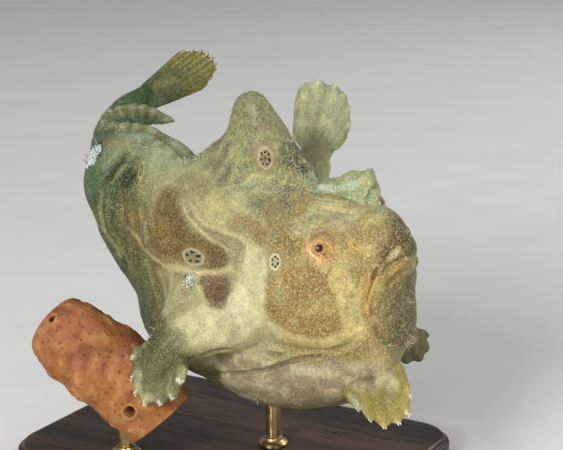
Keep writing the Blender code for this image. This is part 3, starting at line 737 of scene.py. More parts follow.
# Folds: path, half-width, height, the share of it by which the skin beside goes the other way, the
# share of the path over which each end fades, and flat for a flat top or single for no mirror image
FOLDS = {
    "face_fold": ([(41.2, -3, 11.4), (40.8, -4.2, 10.2), (40.3, -5.8, 8.6), (39.6, -7.2, 7), (39, -8.6, 5.4)],
        1.7, -0.7, 0.15, 0.3),
    "mouth_corner": ([(39.2, -8.8, 4.6), (39, -9.6, 3.4), (38.4, -10.5, 1.9), (38.2, -11.2, 0.2)], 0.6, -0.6,
        0.3, 0.25),
    "upper_lip": ([(42.6, -3.9, 7.6), (41.9, -5.7, 6.8), (40.6, -8, 5)], 1.2, 0.4, 0.0, 0.45, "single"),
    "mouth_slit": ([(43.3, -2.2, 6.2), (42.6, -4.2, 5.6), (41.6, -6.6, 4.5), (40.4, -8.3, 3.1),
        (39.4, -9.5, 1.6)], 0.42, -0.6, 0.0, 0.15, "single"),
    "lower_lip": ([(43.1, -2.5, 4.8), (41.9, -5.6, 3.4), (40.8, -7.6, 2), (39.6, -8.9, 0.7)], 1.0, 0.85, 0.25,
        0.06, "flat single"),
    "lip_crease": ([(43, -3.4, 3.1), (41.9, -5.8, 1.9), (40.8, -7.8, 0.5)], 0.4, -0.45, 0.0, 0.2, "single"),
    "left_mouth_slit": ([(41.6, 6.6, 4.5), (40.4, 8.3, 3.1), (39.4, 9.5, 1.6)], 0.42, -0.6, 0.0, 0.2,
        "single"),
    "left_lower_lip": ([(41.2, 7, 2.6), (40.6, 7.9, 1.7), (39.6, 8.9, 0.7)], 1.0, 0.85, 0.25, 0.2,
        "flat single"),
    "mouth_lobe": ([(38.4, -9.8, 4), (37.6, -12.2, 1.2), (37.2, -13.3, -1.4), (37.2, -13.6, -4),
        (37.8, -13, -6.6), (38.6, -12.2, -8.2)], 1.4, 0.7, 0.15, 0.1, "flat"),
    "inner_lobe": ([(40.9, -8.5, 0.3), (39.8, -10, -1.6), (39, -10.9, -4), (38.6, -11.3, -6.4)], 1.6, 0.55,
        0.1, 0.1, "flat"),
    "lobe_wrinkle": ([(36.9, -12.7, -2.5), (37.2, -12.5, -6.5)], 0.35, -0.35, 0.0, 0.3),
    "jaw_fold": ([(38.9, -10.8, -8.6), (39.8, -9.5, -12.6), (41.2, -5.9, -15.8), (41.6, 0, -16.8)], 1.1, -0.7,
        0.4, 0.25),
    "cheek_edge": ([(38.6, -11, -9.6), (36, -12.7, -12.9), (33, -13.3, -15.3), (28.2, -13.5, -17.6),
        (24.4, -15, -17.0)], 0.9, -0.5, 0.4, 0.35),
    "cheek_roll": ([(36.5, -13.2, -9.5), (31, -15, -12.8), (24, -16.5, -14.5), (15, -16.5, -16),
        (6, -17, -17.5)], 3.2, 1.1, 0.0, 0.35),
    "cheek_crease": ([(9, -15.3, -20.6), (13.5, -15.3, -20.6), (17.5, -15.1, -20.3)], 0.6, -0.8, 0.4, 0.4),
    "throat_fold": ([(-15.9, -9.5, -31.2), (-9.8, -11.7, -30.4), (-2.3, -13.8, -28.7), (3, -15, -27.6),
        (6.9, -15.5, -26.4), (11, -15.6, -25), (16, -15.2, -22.8), (20.3, -14.6, -20.9), (25.5, -13.7, -19.6),
        (29.5, -12.9, -18.8)], 0.5, -0.95, 0.3, 0.15),
    "throat_roll": ([(-8, -11, -33.5), (2, -14, -31.2), (12, -14.6, -28.2), (22, -13.6, -24.5),
        (29, -12.3, -22)], 2.6, 0.6, 0.0, 0.3),
    "arm_fold": ([(-6.5, -25, -23.5), (-2.5, -24.3, -21.2), (1.1, -21.5, -20.2), (4.5, -17.5, -20.8)], 0.8,
        -1.0, 0.3, 0.35, "single"),
    "shoulder_fold": ([(3.5, -19.5, -9), (5, -20.5, -13.5), (5.3, -19, -18)], 1.2, -0.6, 0.4, 0.4, "single"),
    "brow_bump": ([(35.3, -5.2, 14.9), (36.3, -4.3, 15)], 2.2, 0.9, 0.0, 0.0, "single"),
    "nose_ridge": ([(39.5, -4.5, 12.4), (37.6, -8.2, 9.2), (36.5, -10.8, 6)], 1.2, 0.5, 0.0, 0.2, "single"),
    "snout_top": ([(37.6, 1.6, 15.2), (38.8, 3.6, 13.4), (39.8, 5.2, 11.6), (40.4, 6.4, 9.6)], 2.3, -1.5, 0.0,
        0.15, "single"),
    "shank_fill": ([(34.8, -9.2, -23.6), (36.4, -9.4, -24.6)], 1.8, 0.9, 0.0, 0.0, "single"),
    "rump_fill": ([(-47, -6, 8.5), (-44.8, -6, 3.5), (-42.3, -6.5, -1), (-39.5, -7, -5.5),
        (-37, -7.5, -10.5)], 5.2, 2.2, 0.0, 0.48, "single"),
    "spine_keel": ([(18.5, -6.4, 19.2), (22.6, -6.6, 18.2), (25.9, -5.8, 17.8), (29.3, -4.4, 17.4),
        (32.2, -2, 17.6)], 2.2, 0.5, 0.0, 0.4, "single"),
    "chin_roll": ([(27, -10, -30), (31.5, -10, -28), (34.5, -10.5, -25.5)], 3.6, 1.5, 0.0, 0.0, "single"),
    "brow": ([(20, -13, 13.5), (26, -11.5, 14), (31, -9.5, 13.5)], 1.7, 0.6, 0.0, 0.4),
    "spine_trough": ([(8.7, -0.6, 31.4), (12, -1.7, 26.9), (15.3, -1.9, 23.2), (18.5, -2.4, 20.8)], 0.9,
        -0.55, 0.4, 0.35),
    "spine_foot": ([(17, -8.6, 18.2), (22, -9, 16.6), (26, -8.4, 16.2), (30.4, -6.4, 15.8), (33.6, -3, 16)],
        0.6, -0.22, 0.4, 0.4),
    "spine_streak": ([(18, -5.8, 19.6), (22, -5.4, 18.9), (27, -4.4, 18.4), (31.6, -2.6, 18.4)], 0.4, -0.3,
        0.5, 0.3),
    "spine_side_1": ([(18.5, -2.9, 20.3), (24, -2.9, 21), (30, -2.9, 22.6)], 0.5, -0.4, 0.5, 0.35),
    "spine_side_2": ([(20, -3, 19.3), (26, -3, 19.5), (32, -2.7, 20.8)], 0.5, -0.35, 0.5, 0.35),
    "nape_wrinkle_1": ([(-9.8, -3.8, 29.5), (-11, -5.4, 26.4), (-12.4, -7.1, 23.6), (-14.8, -10.4, 20)], 0.9,
        -0.35, 0.4, 0.35),
    "nape_wrinkle_2": ([(-6.4, -4.8, 31.4), (-7, -6.2, 27.6), (-8.6, -8.5, 23), (-11, -12, 18.6)], 1.0, -0.4,
        0.4, 0.35),
    "nape_wrinkle_3": ([(-3, -5.7, 30.6), (-3.7, -7.3, 26.2), (-5.4, -9.9, 21), (-8, -13.6, 16.6)], 1.0,
        -0.35, 0.4, 0.35),
    "tail_hollow_1": ([(-41.4, -10.4, 16.8), (-39.4, -10, 19.8), (-37.2, -8.8, 22.2), (-35.8, -7.6, 24.2)],
        1.6, -1.3, 0.3, 0.35, "single"),
    "tail_hollow_2": ([(-36.2, -11.4, 16.6), (-34, -10.9, 19), (-32.4, -9.7, 21.8)], 1.9, -1.3, 0.3, 0.35,
        "single"),
    "tail_crest": ([(-31.5, -8.3, 23.6), (-29.4, -9.6, 20.4), (-28.9, -10.8, 17)], 1.2, 0.7, 0.0, 0.4,
        "single"),
    "tail_fold": ([(-51.5, 1.5, 26.3), (-48.4, -3, 25.4), (-46.1, -5.9, 23.8), (-44.5, -8.3, 20.5)], 1.0,
        -0.7, 0.5, 0.35, "single"),
    "rump_wrinkle_1": ([(-35.2, -11.3, 16.8), (-35.3, -12.1, 12.5), (-33.6, -12.2, 7), (-30.5, -12.9, 2)],
        0.9, -0.5, 0.5, 0.35, "single"),
    "rump_wrinkle_2": ([(-40.7, -11, 15.5), (-42.3, -10.8, 10), (-42.2, -9.8, 5), (-39.5, -9.4, -1)], 0.9,
        -0.5, 0.5, 0.35, "single"),
    "rump_wrinkle_3": ([(-29.2, -11.9, 14.2), (-27, -13.8, 10), (-24.3, -14.9, 6), (-22.5, -15.6, 1)], 0.9,
        -0.45, 0.5, 0.35, "single"),
}


def path_distance(points, path, reach, both_sides=False, spacing=0.2):
    """Each point's distance to a smooth path and its share along it, or an infinite distance
    beyond the reach. On both sides, the point or its mirror image counts, whichever is nearer."""
    length = np.linalg.norm(np.diff(np.array(path, float), axis=0), axis=1).sum()
    track = smooth_path(path, int(length / spacing) + 2)
    distance, share = np.full(len(points), np.inf), np.zeros(len(points))
    for side in (1, -1)[:1 + both_sides]:
        turned_points = points * (1, side, 1)
        near = within(turned_points, track, reach)
        for block in np.array_split(near, len(near) // 3000 + 1):
            gaps = ((turned_points[block, None] - track) ** 2).sum(2)
            best = gaps.argmin(1)
            gap = np.sqrt(gaps[np.arange(len(block)), best])
            closer = gap < distance[block]
            distance[block[closer]] = gap[closer]
            share[block[closer]] = best[closer] / (len(track) - 1)
    return distance, share


def fold_height(points, path, width, height, lip, ends, kind=""):
    """How far a fold lifts each point: a bell curve across its path, or a flat top with a short
    slope, less a lower bell beside it, times the height, and fading at the path's ends."""
    distance, share = path_distance(points, path, 4 * width + 1, "single" not in kind)
    across = distance / width
    lift = 1 - step(0.75, 1.25, across) if "flat" in kind else np.exp(-across ** 2)
    lift = lift - lip * np.exp(-((across - 1.9) / 0.7) ** 2)
    if ends:
        lift = lift * step(0, ends, share) * step(0, ends, 1 - share)
    return height * np.where(np.isfinite(distance), lift, 0)


def eye_axes(side):
    """An eye's centre and its three axes: along the lids' opening, across it, and the way it
    looks. Side is 1 for the right eye and -1 for the left, which is its mirror image."""
    look = unit(LOOK)
    along = unit(LID_LONG - look * (LID_LONG @ look))
    mirror = np.array([1, side, 1])
    return EYE_RIGHT * mirror, along * mirror, np.cross(look, along) * mirror, look * mirror


def lidded(points):
    """The skin drawn over each eyeball: the upper of the skin and of a ball a little bigger
    than the eye, blended, and sunk inside the eye where the lids open."""
    for side in (1, -1):
        centre, along, across, look = eye_axes(side)
        local = (points - centre) @ np.stack([along, across, look], 1)
        x, y, height = local.T
        near = np.hypot(x, y) < 7
        away = np.hypot(x - LID_BALL[0], y - LID_BALL[1])
        ball = np.sqrt(np.maximum(LID_BALL[3] ** 2 - away ** 2, 0)) + LID_BALL[2] - 3 * step(3.2, 5, away)
        lid = (height + ball) / 2 + np.sqrt(((height - ball) / 2) ** 2 + 0.12)
        lid = lid + (height - lid) * step(4, 6, away)
        opening = np.hypot(x / LID_HALF_LENGTH, y / LID_HALF_WIDTH)
        eye = np.sqrt(np.maximum(EYE_RADIUS ** 2 - x ** 2 - y ** 2, 0)) - 0.8
        lid = np.where(opening < 1.0, np.minimum(lid, eye), lid)
        move = near & (height > -2)
        points = points + np.where(move, lid - height, 0)[:, None] * look
    return points


def make_folds(mesh):
    """Lift and sink the skin along its normals by all the folds and a gentle unevenness,
    then draw the lids over the eyes."""
    points, normals = read_points(mesh) / MM, read_normals(mesh)
    _, _, out, _ = fin_places(points)
    lift = 0.32 * lattice_noise(points, 5.5, 1) + 0.14 * lattice_noise(points, 2.1, 2)
    lift *= 1 - 0.8 * step(0.1, 0.4, out)
    folds = sum(fold_height(points, *fold) for fold in FOLDS.values())
    lift += folds
    # The depth of each fold's hollow, kept for the painted shade in it.
    depth = mesh.attributes.new("hollow", "FLOAT", "POINT")
    depth.data.foreach_set("value", np.clip(-folds, 0, None))
    write_points(mesh, lidded(points + normals * lift[:, None]) * MM)


def thin_out(piece, triangles, keep):
    """Take triangles away where the surface is flat, and fewer where the keep weights are high."""
    group = piece.vertex_groups.new(name="keep")
    for level in range(4):
        chosen = np.flatnonzero(np.round(keep * 3).astype(int) == level)
        group.add(chosen.tolist(), level / 3, "REPLACE")
    thin = piece.modifiers.new("thin", "DECIMATE")
    thin.vertex_group = "keep"
    thin.invert_vertex_group = True
    thin.vertex_group_factor = 1.0
    thin.ratio = triangles / (2 * len(piece.data.polygons))
    applied(piece)
    piece.vertex_groups.clear()


make_folds(skin.data)
face = read_points(skin.data) / MM
thin_out(skin, SKIN_TRIANGLES, step(12, 34, face[:, 0]) * step(-24, -14, face[:, 2]))
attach(skin, "root")
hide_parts("head", "lower_jaw", "trunk", "tail", "caudal_fin", "soft_dorsal_fin", "anal_fin",
            "third_dorsal_spine", "second_dorsal_spine", "pectoral_fin_right", "pectoral_fin_left",
            "pelvic_fin_right", "pelvic_fin_left")
skin.data.polygons.foreach_set("use_smooth", np.ones(len(skin.data.polygons), bool))

# Fish: colours. The skin is painted in thin coats over the cast, from the photographed fish's own
# pattern: olive cream and tan grounds, brown clouds, cream bands, pale throat, green tail. Some coats
# are painted light and shade: painted shade in the hollows of folds, troughs, lip grooves and creases
# and in part over the tail, and painted highlights in pale ridge lines and glints. Tones are kept in
# the skin, and the finer dots, granules, glints and ringed eyespots are in its material.
OLIVE_CREAM = (0.43, 0.41, 0.21)
CREAM = (0.60, 0.58, 0.32)
PALE = (0.66, 0.65, 0.41)
YELLOW_CREAM = (0.62, 0.52, 0.22)
YELLOW_OLIVE = (0.48, 0.46, 0.19)
TAN = (0.40, 0.31, 0.12)
TAN_BROWN = (0.27, 0.20, 0.075)
CLOUD_BROWN = (0.150, 0.107, 0.024)
UMBER = (0.125, 0.08, 0.028)
WARM_BROWN = (0.31, 0.195, 0.062)
RUST_BROWN = (0.17, 0.125, 0.045)
MAUVE_BROWN = (0.15, 0.095, 0.060)
MAUVE_GREY = (0.29, 0.265, 0.14)
BAND_CREAM = (0.66, 0.58, 0.30)
# The rear tones are darker partly as painted shade, where the light falls off towards the tail.
REAR_GREEN = (0.044, 0.074, 0.021)
REAR_OLIVE = (0.110, 0.118, 0.042)
DEEP_GREEN = (0.035, 0.068, 0.022)
OCHRE = (0.31, 0.21, 0.055)
TAIL_LIGHT = (0.32, 0.42, 0.26)
TAIL_TEAL = (0.085, 0.175, 0.085)
NAPE_GREEN = (0.205, 0.235, 0.12)
NAPE_MAUVE = (0.26, 0.235, 0.145)
MINT = (0.33, 0.43, 0.29)
SPINE_GREEN = (0.32, 0.37, 0.19)
THROAT = (0.34, 0.30, 0.165)
THROAT_MAUVE = (0.28, 0.225, 0.15)
THROAT_PALE = (0.60, 0.56, 0.38)
BELLY_OLIVE = (0.165, 0.148, 0.066)
JAW_GREY = (0.078, 0.066, 0.030)
SNOUT_GREEN = (0.075, 0.07, 0.019)
LIP_CREAM = (0.53, 0.43, 0.155)
LIP_TAN = (0.35, 0.25, 0.065)
LOBE_OCHRE = (0.54, 0.37, 0.11)
MOUTH_RUST = (0.28, 0.115, 0.025)
FURROW_BROWN = (0.17, 0.09, 0.028)
CHIN_PALE = (0.27, 0.245, 0.125)
NOSTRIL_GOLD = (0.60, 0.43, 0.11)
BROW_OLIVE = (0.50, 0.49, 0.28)
BROW_PINK = (0.47, 0.33, 0.23)
EYELID_TAN = (0.54, 0.33, 0.12)
EYELID_PALE = (0.66, 0.55, 0.30)
ARM_GREEN = (0.09, 0.10, 0.034)
HAND_OLIVE = (0.26, 0.275, 0.14)
FOOT_YELLOW = (0.27, 0.24, 0.055)
CAUDAL_OLIVE = (0.075, 0.088, 0.018)
TAIL_YELLOW = (0.27, 0.24, 0.05)
TIP_WHITE = (0.80, 0.80, 0.66)
TAIL_PALE = (0.52, 0.58, 0.42)
LIP_GOLD = (0.68, 0.46, 0.10)
LIP_SHADE = (0.30, 0.20, 0.065)
MINT_PALE = (0.50, 0.62, 0.50)
FIN_BLUE = (0.50, 0.58, 0.52)
TROUGH_GREEN = (0.10, 0.115, 0.055)
HAND_PALE = (0.45, 0.475, 0.275)
FIN_GREY = (0.30, 0.345, 0.215)
TIP_YELLOW = (0.40, 0.33, 0.10)

# Marks in the order they are painted: colour, path, half-width, strength. They lie on both sides
MARKS = [
    (THROAT_MAUVE, [(2, -14, -30), (9, -14.5, -29)], 2.6, 0.6),
    (THROAT_MAUVE, [(20, -13.5, -26), (25, -12.5, -28)], 2.4, 0.6),
    (THROAT_MAUVE, [(27, -12.6, -21.5), (31, -11.5, -23)], 2.0, 0.5),
    (THROAT_PALE, [(-3, -13, -31), (3, -14.5, -31)], 1.2, 0.5),
    (THROAT_PALE, [(7, -14.8, -30.5), (15, -13.8, -30)], 1.3, 0.55),
    (THROAT_PALE, [(19, -13.8, -23.6), (27, -12.9, -24)], 1.5, 0.55),
    (THROAT_PALE, [(33, -11, -22), (37, -9, -21)], 1.3, 0.3),
    (BELLY_OLIVE, [(-16, -4, -34), (-8, -4, -38.5), (4, -4, -40), (18, -5, -38), (28, -5, -33)], 4.5, 0.7),
    (CREAM, [(1, -16.5, -21.5), (12, -15.5, -22.3)], 1.6, 0.4),
    (BELLY_OLIVE, [(-14, -10, -30.5), (-6, -13, -29.5)], 2.2, 0.6),
    (REAR_OLIVE, [(-27, -13, -3.5), (-23, -14.5, -8), (-18, -17, -14)], 5.5, 0.85),
    (TAN, [(-20, -15.5, -5), (-16, -17.5, -9)], 2.6, 0.6),
    (PALE, [(8, -16.8, 2), (7.8, -18, -6), (4.5, -22, -12.5), (-3, -26, -13)], 5.0, 0.95),
    (CREAM, [(-6, -27, -14), (1.3, -24, -13.8), (5, -20, -16)], 4.0, 0.7),
    (CREAM, [(-21.5, -15, -4), (-19, -16.5, -9), (-16.5, -17.5, -14)], 0.7, 0.6),
    (CREAM, [(-15.5, -18, -4), (-13.5, -19, -8), (-10, -23, -12)], 0.9, 0.6),
    (YELLOW_OLIVE, [(-26.5, -13.4, -2), (-24.5, -14, -8), (-21, -15.5, -13)], 0.6, 0.4),
    (NAPE_GREEN, [(-1, -3, 34), (-2, -2, 42)], 3.5, 0.45),
    (NAPE_MAUVE, [(-16, -11, 20), (-9, -12, 19)], 2.4, 0.5),
    (YELLOW_OLIVE, [(-5.5, -13.5, 17), (-2.5, -14.8, 14.4), (-0.4, -15.5, 12.2)], 2.0, 0.8),
    (CREAM, [(0, -12, 18), (3, -13, 15)], 2.0, 0.5),
    (NAPE_GREEN, [(4.5, -12, 17), (6.5, -12.5, 14.5)], 1.7, 0.6),
    (TAN_BROWN, [(1.6, -14.6, 11.6), (5.5, -13.8, 11), (9.5, -15.6, 9)], 2.0, 0.85),
    (TAN_BROWN, [(9.5, -11.2, 15.2), (12, -12.8, 12.8)], 1.8, 0.5),
    (TAN_BROWN, [(-24, -14, 10), (-22, -15.3, 5), (-17, -17, 1.5)], 3.4, 0.75),
    (RUST_BROWN, [(-32, -12.2, 8), (-29, -13.2, 3), (-22.5, -15.2, 0.2)], 3.6, 0.85),
    (WARM_BROWN, [(-21.5, -14.6, 11), (-20.4, -15.8, 5.6)], 1.6, 0.5),
    (TAN, [(-28.6, -12.6, 11), (-28, -13.2, 6.4)], 0.6, 0.45),
    (OCHRE, [(-31.6, -12.4, 9.6), (-31, -12.6, 5)], 0.6, 0.6),
    (CREAM, [(-26.6, -13.2, 8), (-26, -13.8, 3.6)], 0.7, 0.3),
    (CREAM, [(-41.8, -9.5, 14), (-43.4, -9.4, 8), (-42, -9.6, 2.6), (-37, -10.6, -3)], 0.9, 0.28),
    (TAN, [(-39.6, -11, 12), (-40, -10.8, 6), (-37, -11, 0), (-32, -11.6, -6)], 0.8, 0.28),
    (TAN, [(-35, -12, 13), (-34.4, -12.2, 8)], 0.6, 0.4),
    (CLOUD_BROWN, [(-18.6, -14, 13.6), (-16.6, -15.6, 9.8), (-12.8, -17, 6.2)], 4.6, 0.94),
    (CLOUD_BROWN, [(-22, -15.3, 6.6), (-17, -17, 3.6), (-12, -17.9, 3.2)], 3.3, 0.9),
    (CLOUD_BROWN, [(-12.8, -17.3, 5.6), (-8, -17.7, 4.4), (-4, -17.2, 3.6)], 4.2, 0.96),
    (CLOUD_BROWN, [(-4, -17.2, 3.3), (-2.2, -16.8, 2.9)], 3.2, 0.96),
    (MAUVE_BROWN, [(-6, -17.4, 1.8), (-2, -16.8, 2.4)], 2.2, 0.6),
    (UMBER, [(-17.8, -14.6, 12.6), (-14, -16.3, 9)], 2.4, 0.7),
    (UMBER, [(-13, -17.5, 3), (-8, -17.8, 6)], 1.8, 0.4),
    (WARM_BROWN, [(-23.4, -15, 8.2), (-22, -15.6, 6.4)], 1.2, 0.85),
    (OCHRE, [(-20.8, -14.7, 10.6), (-19.4, -15.8, 7.8)], 1.0, 0.6),
    (MAUVE_GREY, [(-14.6, -13.6, 16.4), (-12, -14.9, 14.2), (-8.3, -16.4, 11.4), (-5.1, -16.8, 9.4),
        (-1.6, -16.6, 8), (1.8, -16, 6.6), (3.3, -16, 4.4), (3.1, -16, 1.6)], 1.9, 0.95),
    (MAUVE_BROWN, [(-13, -18.6, -2.9), (-10, -19, -3.2)], 0.8, 0.5),
    (MAUVE_BROWN, [(-4.4, -18.4, -3.4), (-0.4, -17, -3.6)], 1.7, 0.97),
    (MAUVE_BROWN, [(-2.6, -19.5, -5.4), (0.6, -19, -5.6)], 2.0, 0.97),
    (MAUVE_BROWN, [(-0.2, -21, -7.6), (1.2, -21, -7.6)], 1.6, 0.9),
    (WARM_BROWN, [(-9, -20.5, -5.5), (-8.4, -21, -7)], 1.0, 0.6),
    (CREAM, [(9, -17, 2.5), (9.9, -18.4, -1), (10.6, -18.7, -6), (11.9, -18, -11.2), (14.9, -17.7, -13.9)],
        2.0, 0.8),
    (TAN_BROWN, [(14, -14.5, 11), (18, -15.5, 9)], 2.2, 0.65),
    (TAN_BROWN, [(17, -17.5, 6), (19.5, -18, 4)], 2.4, 0.4),
    (TAN_BROWN, [(16.5, -15.8, 9.6), (20.5, -16.6, 8.4)], 2.6, 0.7),
    (TAN_BROWN, [(20, -16, 12), (22, -15, 11)], 1.6, 0.5),
    (WARM_BROWN, [(21.5, -19, 1), (25.5, -18.5, 1.2), (30, -17, 0.8)], 3.5, 0.8),
    (WARM_BROWN, [(26.5, -18.4, 0), (23.5, -19, -3.5), (18.5, -19.4, -6)], 2.8, 0.65),
    (WARM_BROWN, [(14.6, -19, -1.5), (14.6, -19, -7)], 2.0, 0.7),
    (WARM_BROWN, [(16.5, -19, -8.5), (22.5, -18.5, -10.6), (28.8, -17.3, -10.2), (32.2, -15.8, -9.8)], 3.1,
        0.85),
    (YELLOW_OLIVE, [(20.5, -19, -9.6), (21.3, -19, -9.9)], 0.9, 0.5),
    (YELLOW_CREAM, [(31.6, -16, 1.8), (33.1, -15.3, -1), (34, -14.8, -4.8), (34.4, -14.1, -8.7),
        (34.6, -13.6, -11.5)], 2.5, 0.95),
    (YELLOW_CREAM, [(17, -18, -14.4), (25.4, -16.3, -15.4), (31.8, -15.1, -13.4), (35.8, -12.6, -11.6)], 1.5,
        0.85),
    (YELLOW_CREAM, [(28, -18, 5), (32, -14.5, 6), (35, -12, 7), (37, -10, 8)], 2.0, 0.5),
    (OCHRE, [(33.2, -11.6, 9.6), (34.6, -11.2, 6)], 1.6, 0.4),
    (BROW_OLIVE, [(19.5, -14.2, 12.8), (22, -12.9, 14), (24.7, -10.3, 15.6), (30, -9.5, 14.3)], 2.4, 0.75),
    (BROW_PINK, [(27, -9.5, 15.5), (30, -8, 15.4)], 1.0, 0.5),
    (BROW_OLIVE, [(22, -9, 16.8), (30, -6.5, 16.4)], 2.5, 0.8),
    (YELLOW_OLIVE, [(35, -5.4, 14.8), (36.2, -4.6, 14.8)], 2.1, 0.8),
    (TAN_BROWN, [(38, -6.5, 12), (39.5, -2.5, 13.6)], 2.0, 0.6),
    (SNOUT_GREEN, [(41, -1, 14), (42.6, 0.5, 11), (43, -1.5, 8)], 3.2, 0.92),
    # FURROW_BROWN along the face fold is partly brown skin and partly painted shade in the furrow.
    (FURROW_BROWN, [(41, -3.5, 10.9), (40.6, -4.8, 9.6), (40.1, -6.4, 7.9), (39.3, -7.6, 6.3)], 1.7, 0.8),
    (PALE, [(42.4, -5, 7.9), (41.6, -6.2, 7.2), (40.8, -7.4, 5.8)], 0.75, 0.7),
    (TAN, [(42.8, -3.8, 6.6), (41.2, -7.6, 4.4)], 0.7, 0.7),
    (LOBE_OCHRE, [(37.9, -11, 2.4), (37.6, -13, -0.3), (37.5, -13.3, -3.3), (38, -12.8, -6.2),
        (38.7, -12.2, -8)], 1.4, 0.95),
    (LIP_TAN, [(40.9, -8.5, 0.2), (39.8, -10, -1.8), (39, -10.9, -4.2), (38.7, -11.3, -6.6)], 1.7, 0.9),
    (LIP_CREAM, [(39.9, -9.6, 0.2), (39.5, -10.2, -1.2)], 0.8, 0.7),
    # MOUTH_RUST in the mouth corner's crease is partly rust-brown skin and partly painted shade.
    (MOUTH_RUST, [(39, -9.2, 4.4), (38.8, -9.8, 3.2), (38.2, -10.6, 1.8), (37.9, -11, 0.6)], 0.85, 0.9),
    (LIP_CREAM, [(38.7, -9.1, 5.4), (38.2, -9.8, 4.6)], 0.45, 0.8),
    (LIP_TAN, [(43, -2.6, 4.7), (41.9, -5.6, 3.4), (40.8, -7.6, 2), (39.6, -8.9, 0.7)], 1.05, 0.95),
    (LIP_CREAM, [(42.2, -4.9, 4), (41.2, -7, 2.8)], 0.55, 0.7),
    (TIP_WHITE, [(42.9, -3.1, 5), (42.6, -3.9, 4.6)], 0.5, 0.9),
    (CHIN_PALE, [(42.5, -3, -1.5), (41.5, -6.5, -3.5)], 0.8, 0.6),
    (CHIN_PALE, [(42.4, -1, -6), (41.8, -5.5, -7.5), (40.5, -8, -10)], 1.0, 0.6),
    (CHIN_PALE, [(42, 0, -12), (41, -5, -14)], 1.0, 0.5),
    (NOSTRIL_GOLD, [(33, -11.9, 9.6), (34.5, -11.6, 8.6)], 1.3, 0.75),
    (OCHRE, [(-46, -3, 27), (-41, -6, 26), (-36, -6, 26.5)], 1.6, 0.4),
    (NAPE_GREEN, [(-40, -9.5, 22), (-36, -9, 24), (-32, -9, 23)], 3.4, 0.5),
    # The two DEEP_GREEN marks here are painted shade in the hollows beside the bent tail.
    (DEEP_GREEN, [(-41.2, -10.4, 17.2), (-39.2, -10, 20), (-36.8, -8.6, 22.8)], 2.0, 0.7),
    (DEEP_GREEN, [(-35.8, -11.5, 16.8), (-33.8, -10.9, 19), (-32.4, -9.7, 21.6)], 2.5, 0.65),
    # The first TROUGH_GREEN mark is painted shade in the trough down the front of the third spine.
    (TROUGH_GREEN, [(9.5, -2, 29.5), (12.5, -2.8, 25.8), (16, -3.2, 22.9), (19.4, -3.6, 20.6)], 1.7, 0.8),
    (TROUGH_GREEN, [(-20.5, -5, 24.4), (-16.5, -4.8, 25.2)], 1.4, 0.5),
    (DEEP_GREEN, [(-13.5, -28.5, -14.5), (-11.5, -31, -17)], 3.0, 0.85),
]

# Marks over the fins' own colours
FIN_MARKS = [
    (YELLOW_OLIVE, [(29, -2, 23.5), (32.6, -1.4, 23)], 1.6, 0.3),
    (MINT_PALE, [(19.5, -3, 20.2), (24, -2.4, 20.6), (28.6, -2, 22.2)], 1.1, 0.8),
    (YELLOW_CREAM, [(22.6, -7, 17.6), (26, -6.6, 17), (30, -4.6, 16.6), (33.2, -1.6, 17.4)], 1.5, 0.5),
    (TIP_YELLOW, [(-53.5, 31.5, 35.5), (-49.5, 33.5, 37.5)], 1.2, 0.28),
    (DEEP_GREEN, [(-48.5, 35, 39.5), (-46.5, 36, 38.5)], 1.4, 0.5),
    (DEEP_GREEN, [(-50, 33, 33.5), (-47.5, 34.5, 34.5)], 1.3, 0.45),
    (FIN_BLUE, [(34, -12.6, -28.6), (36, -13.6, -30), (38.4, -14.6, -31.6)], 0.9, 0.55),
    (PALE, [(42, -12, -23), (46, -12.5, -24)], 2.2, 0.6),
]

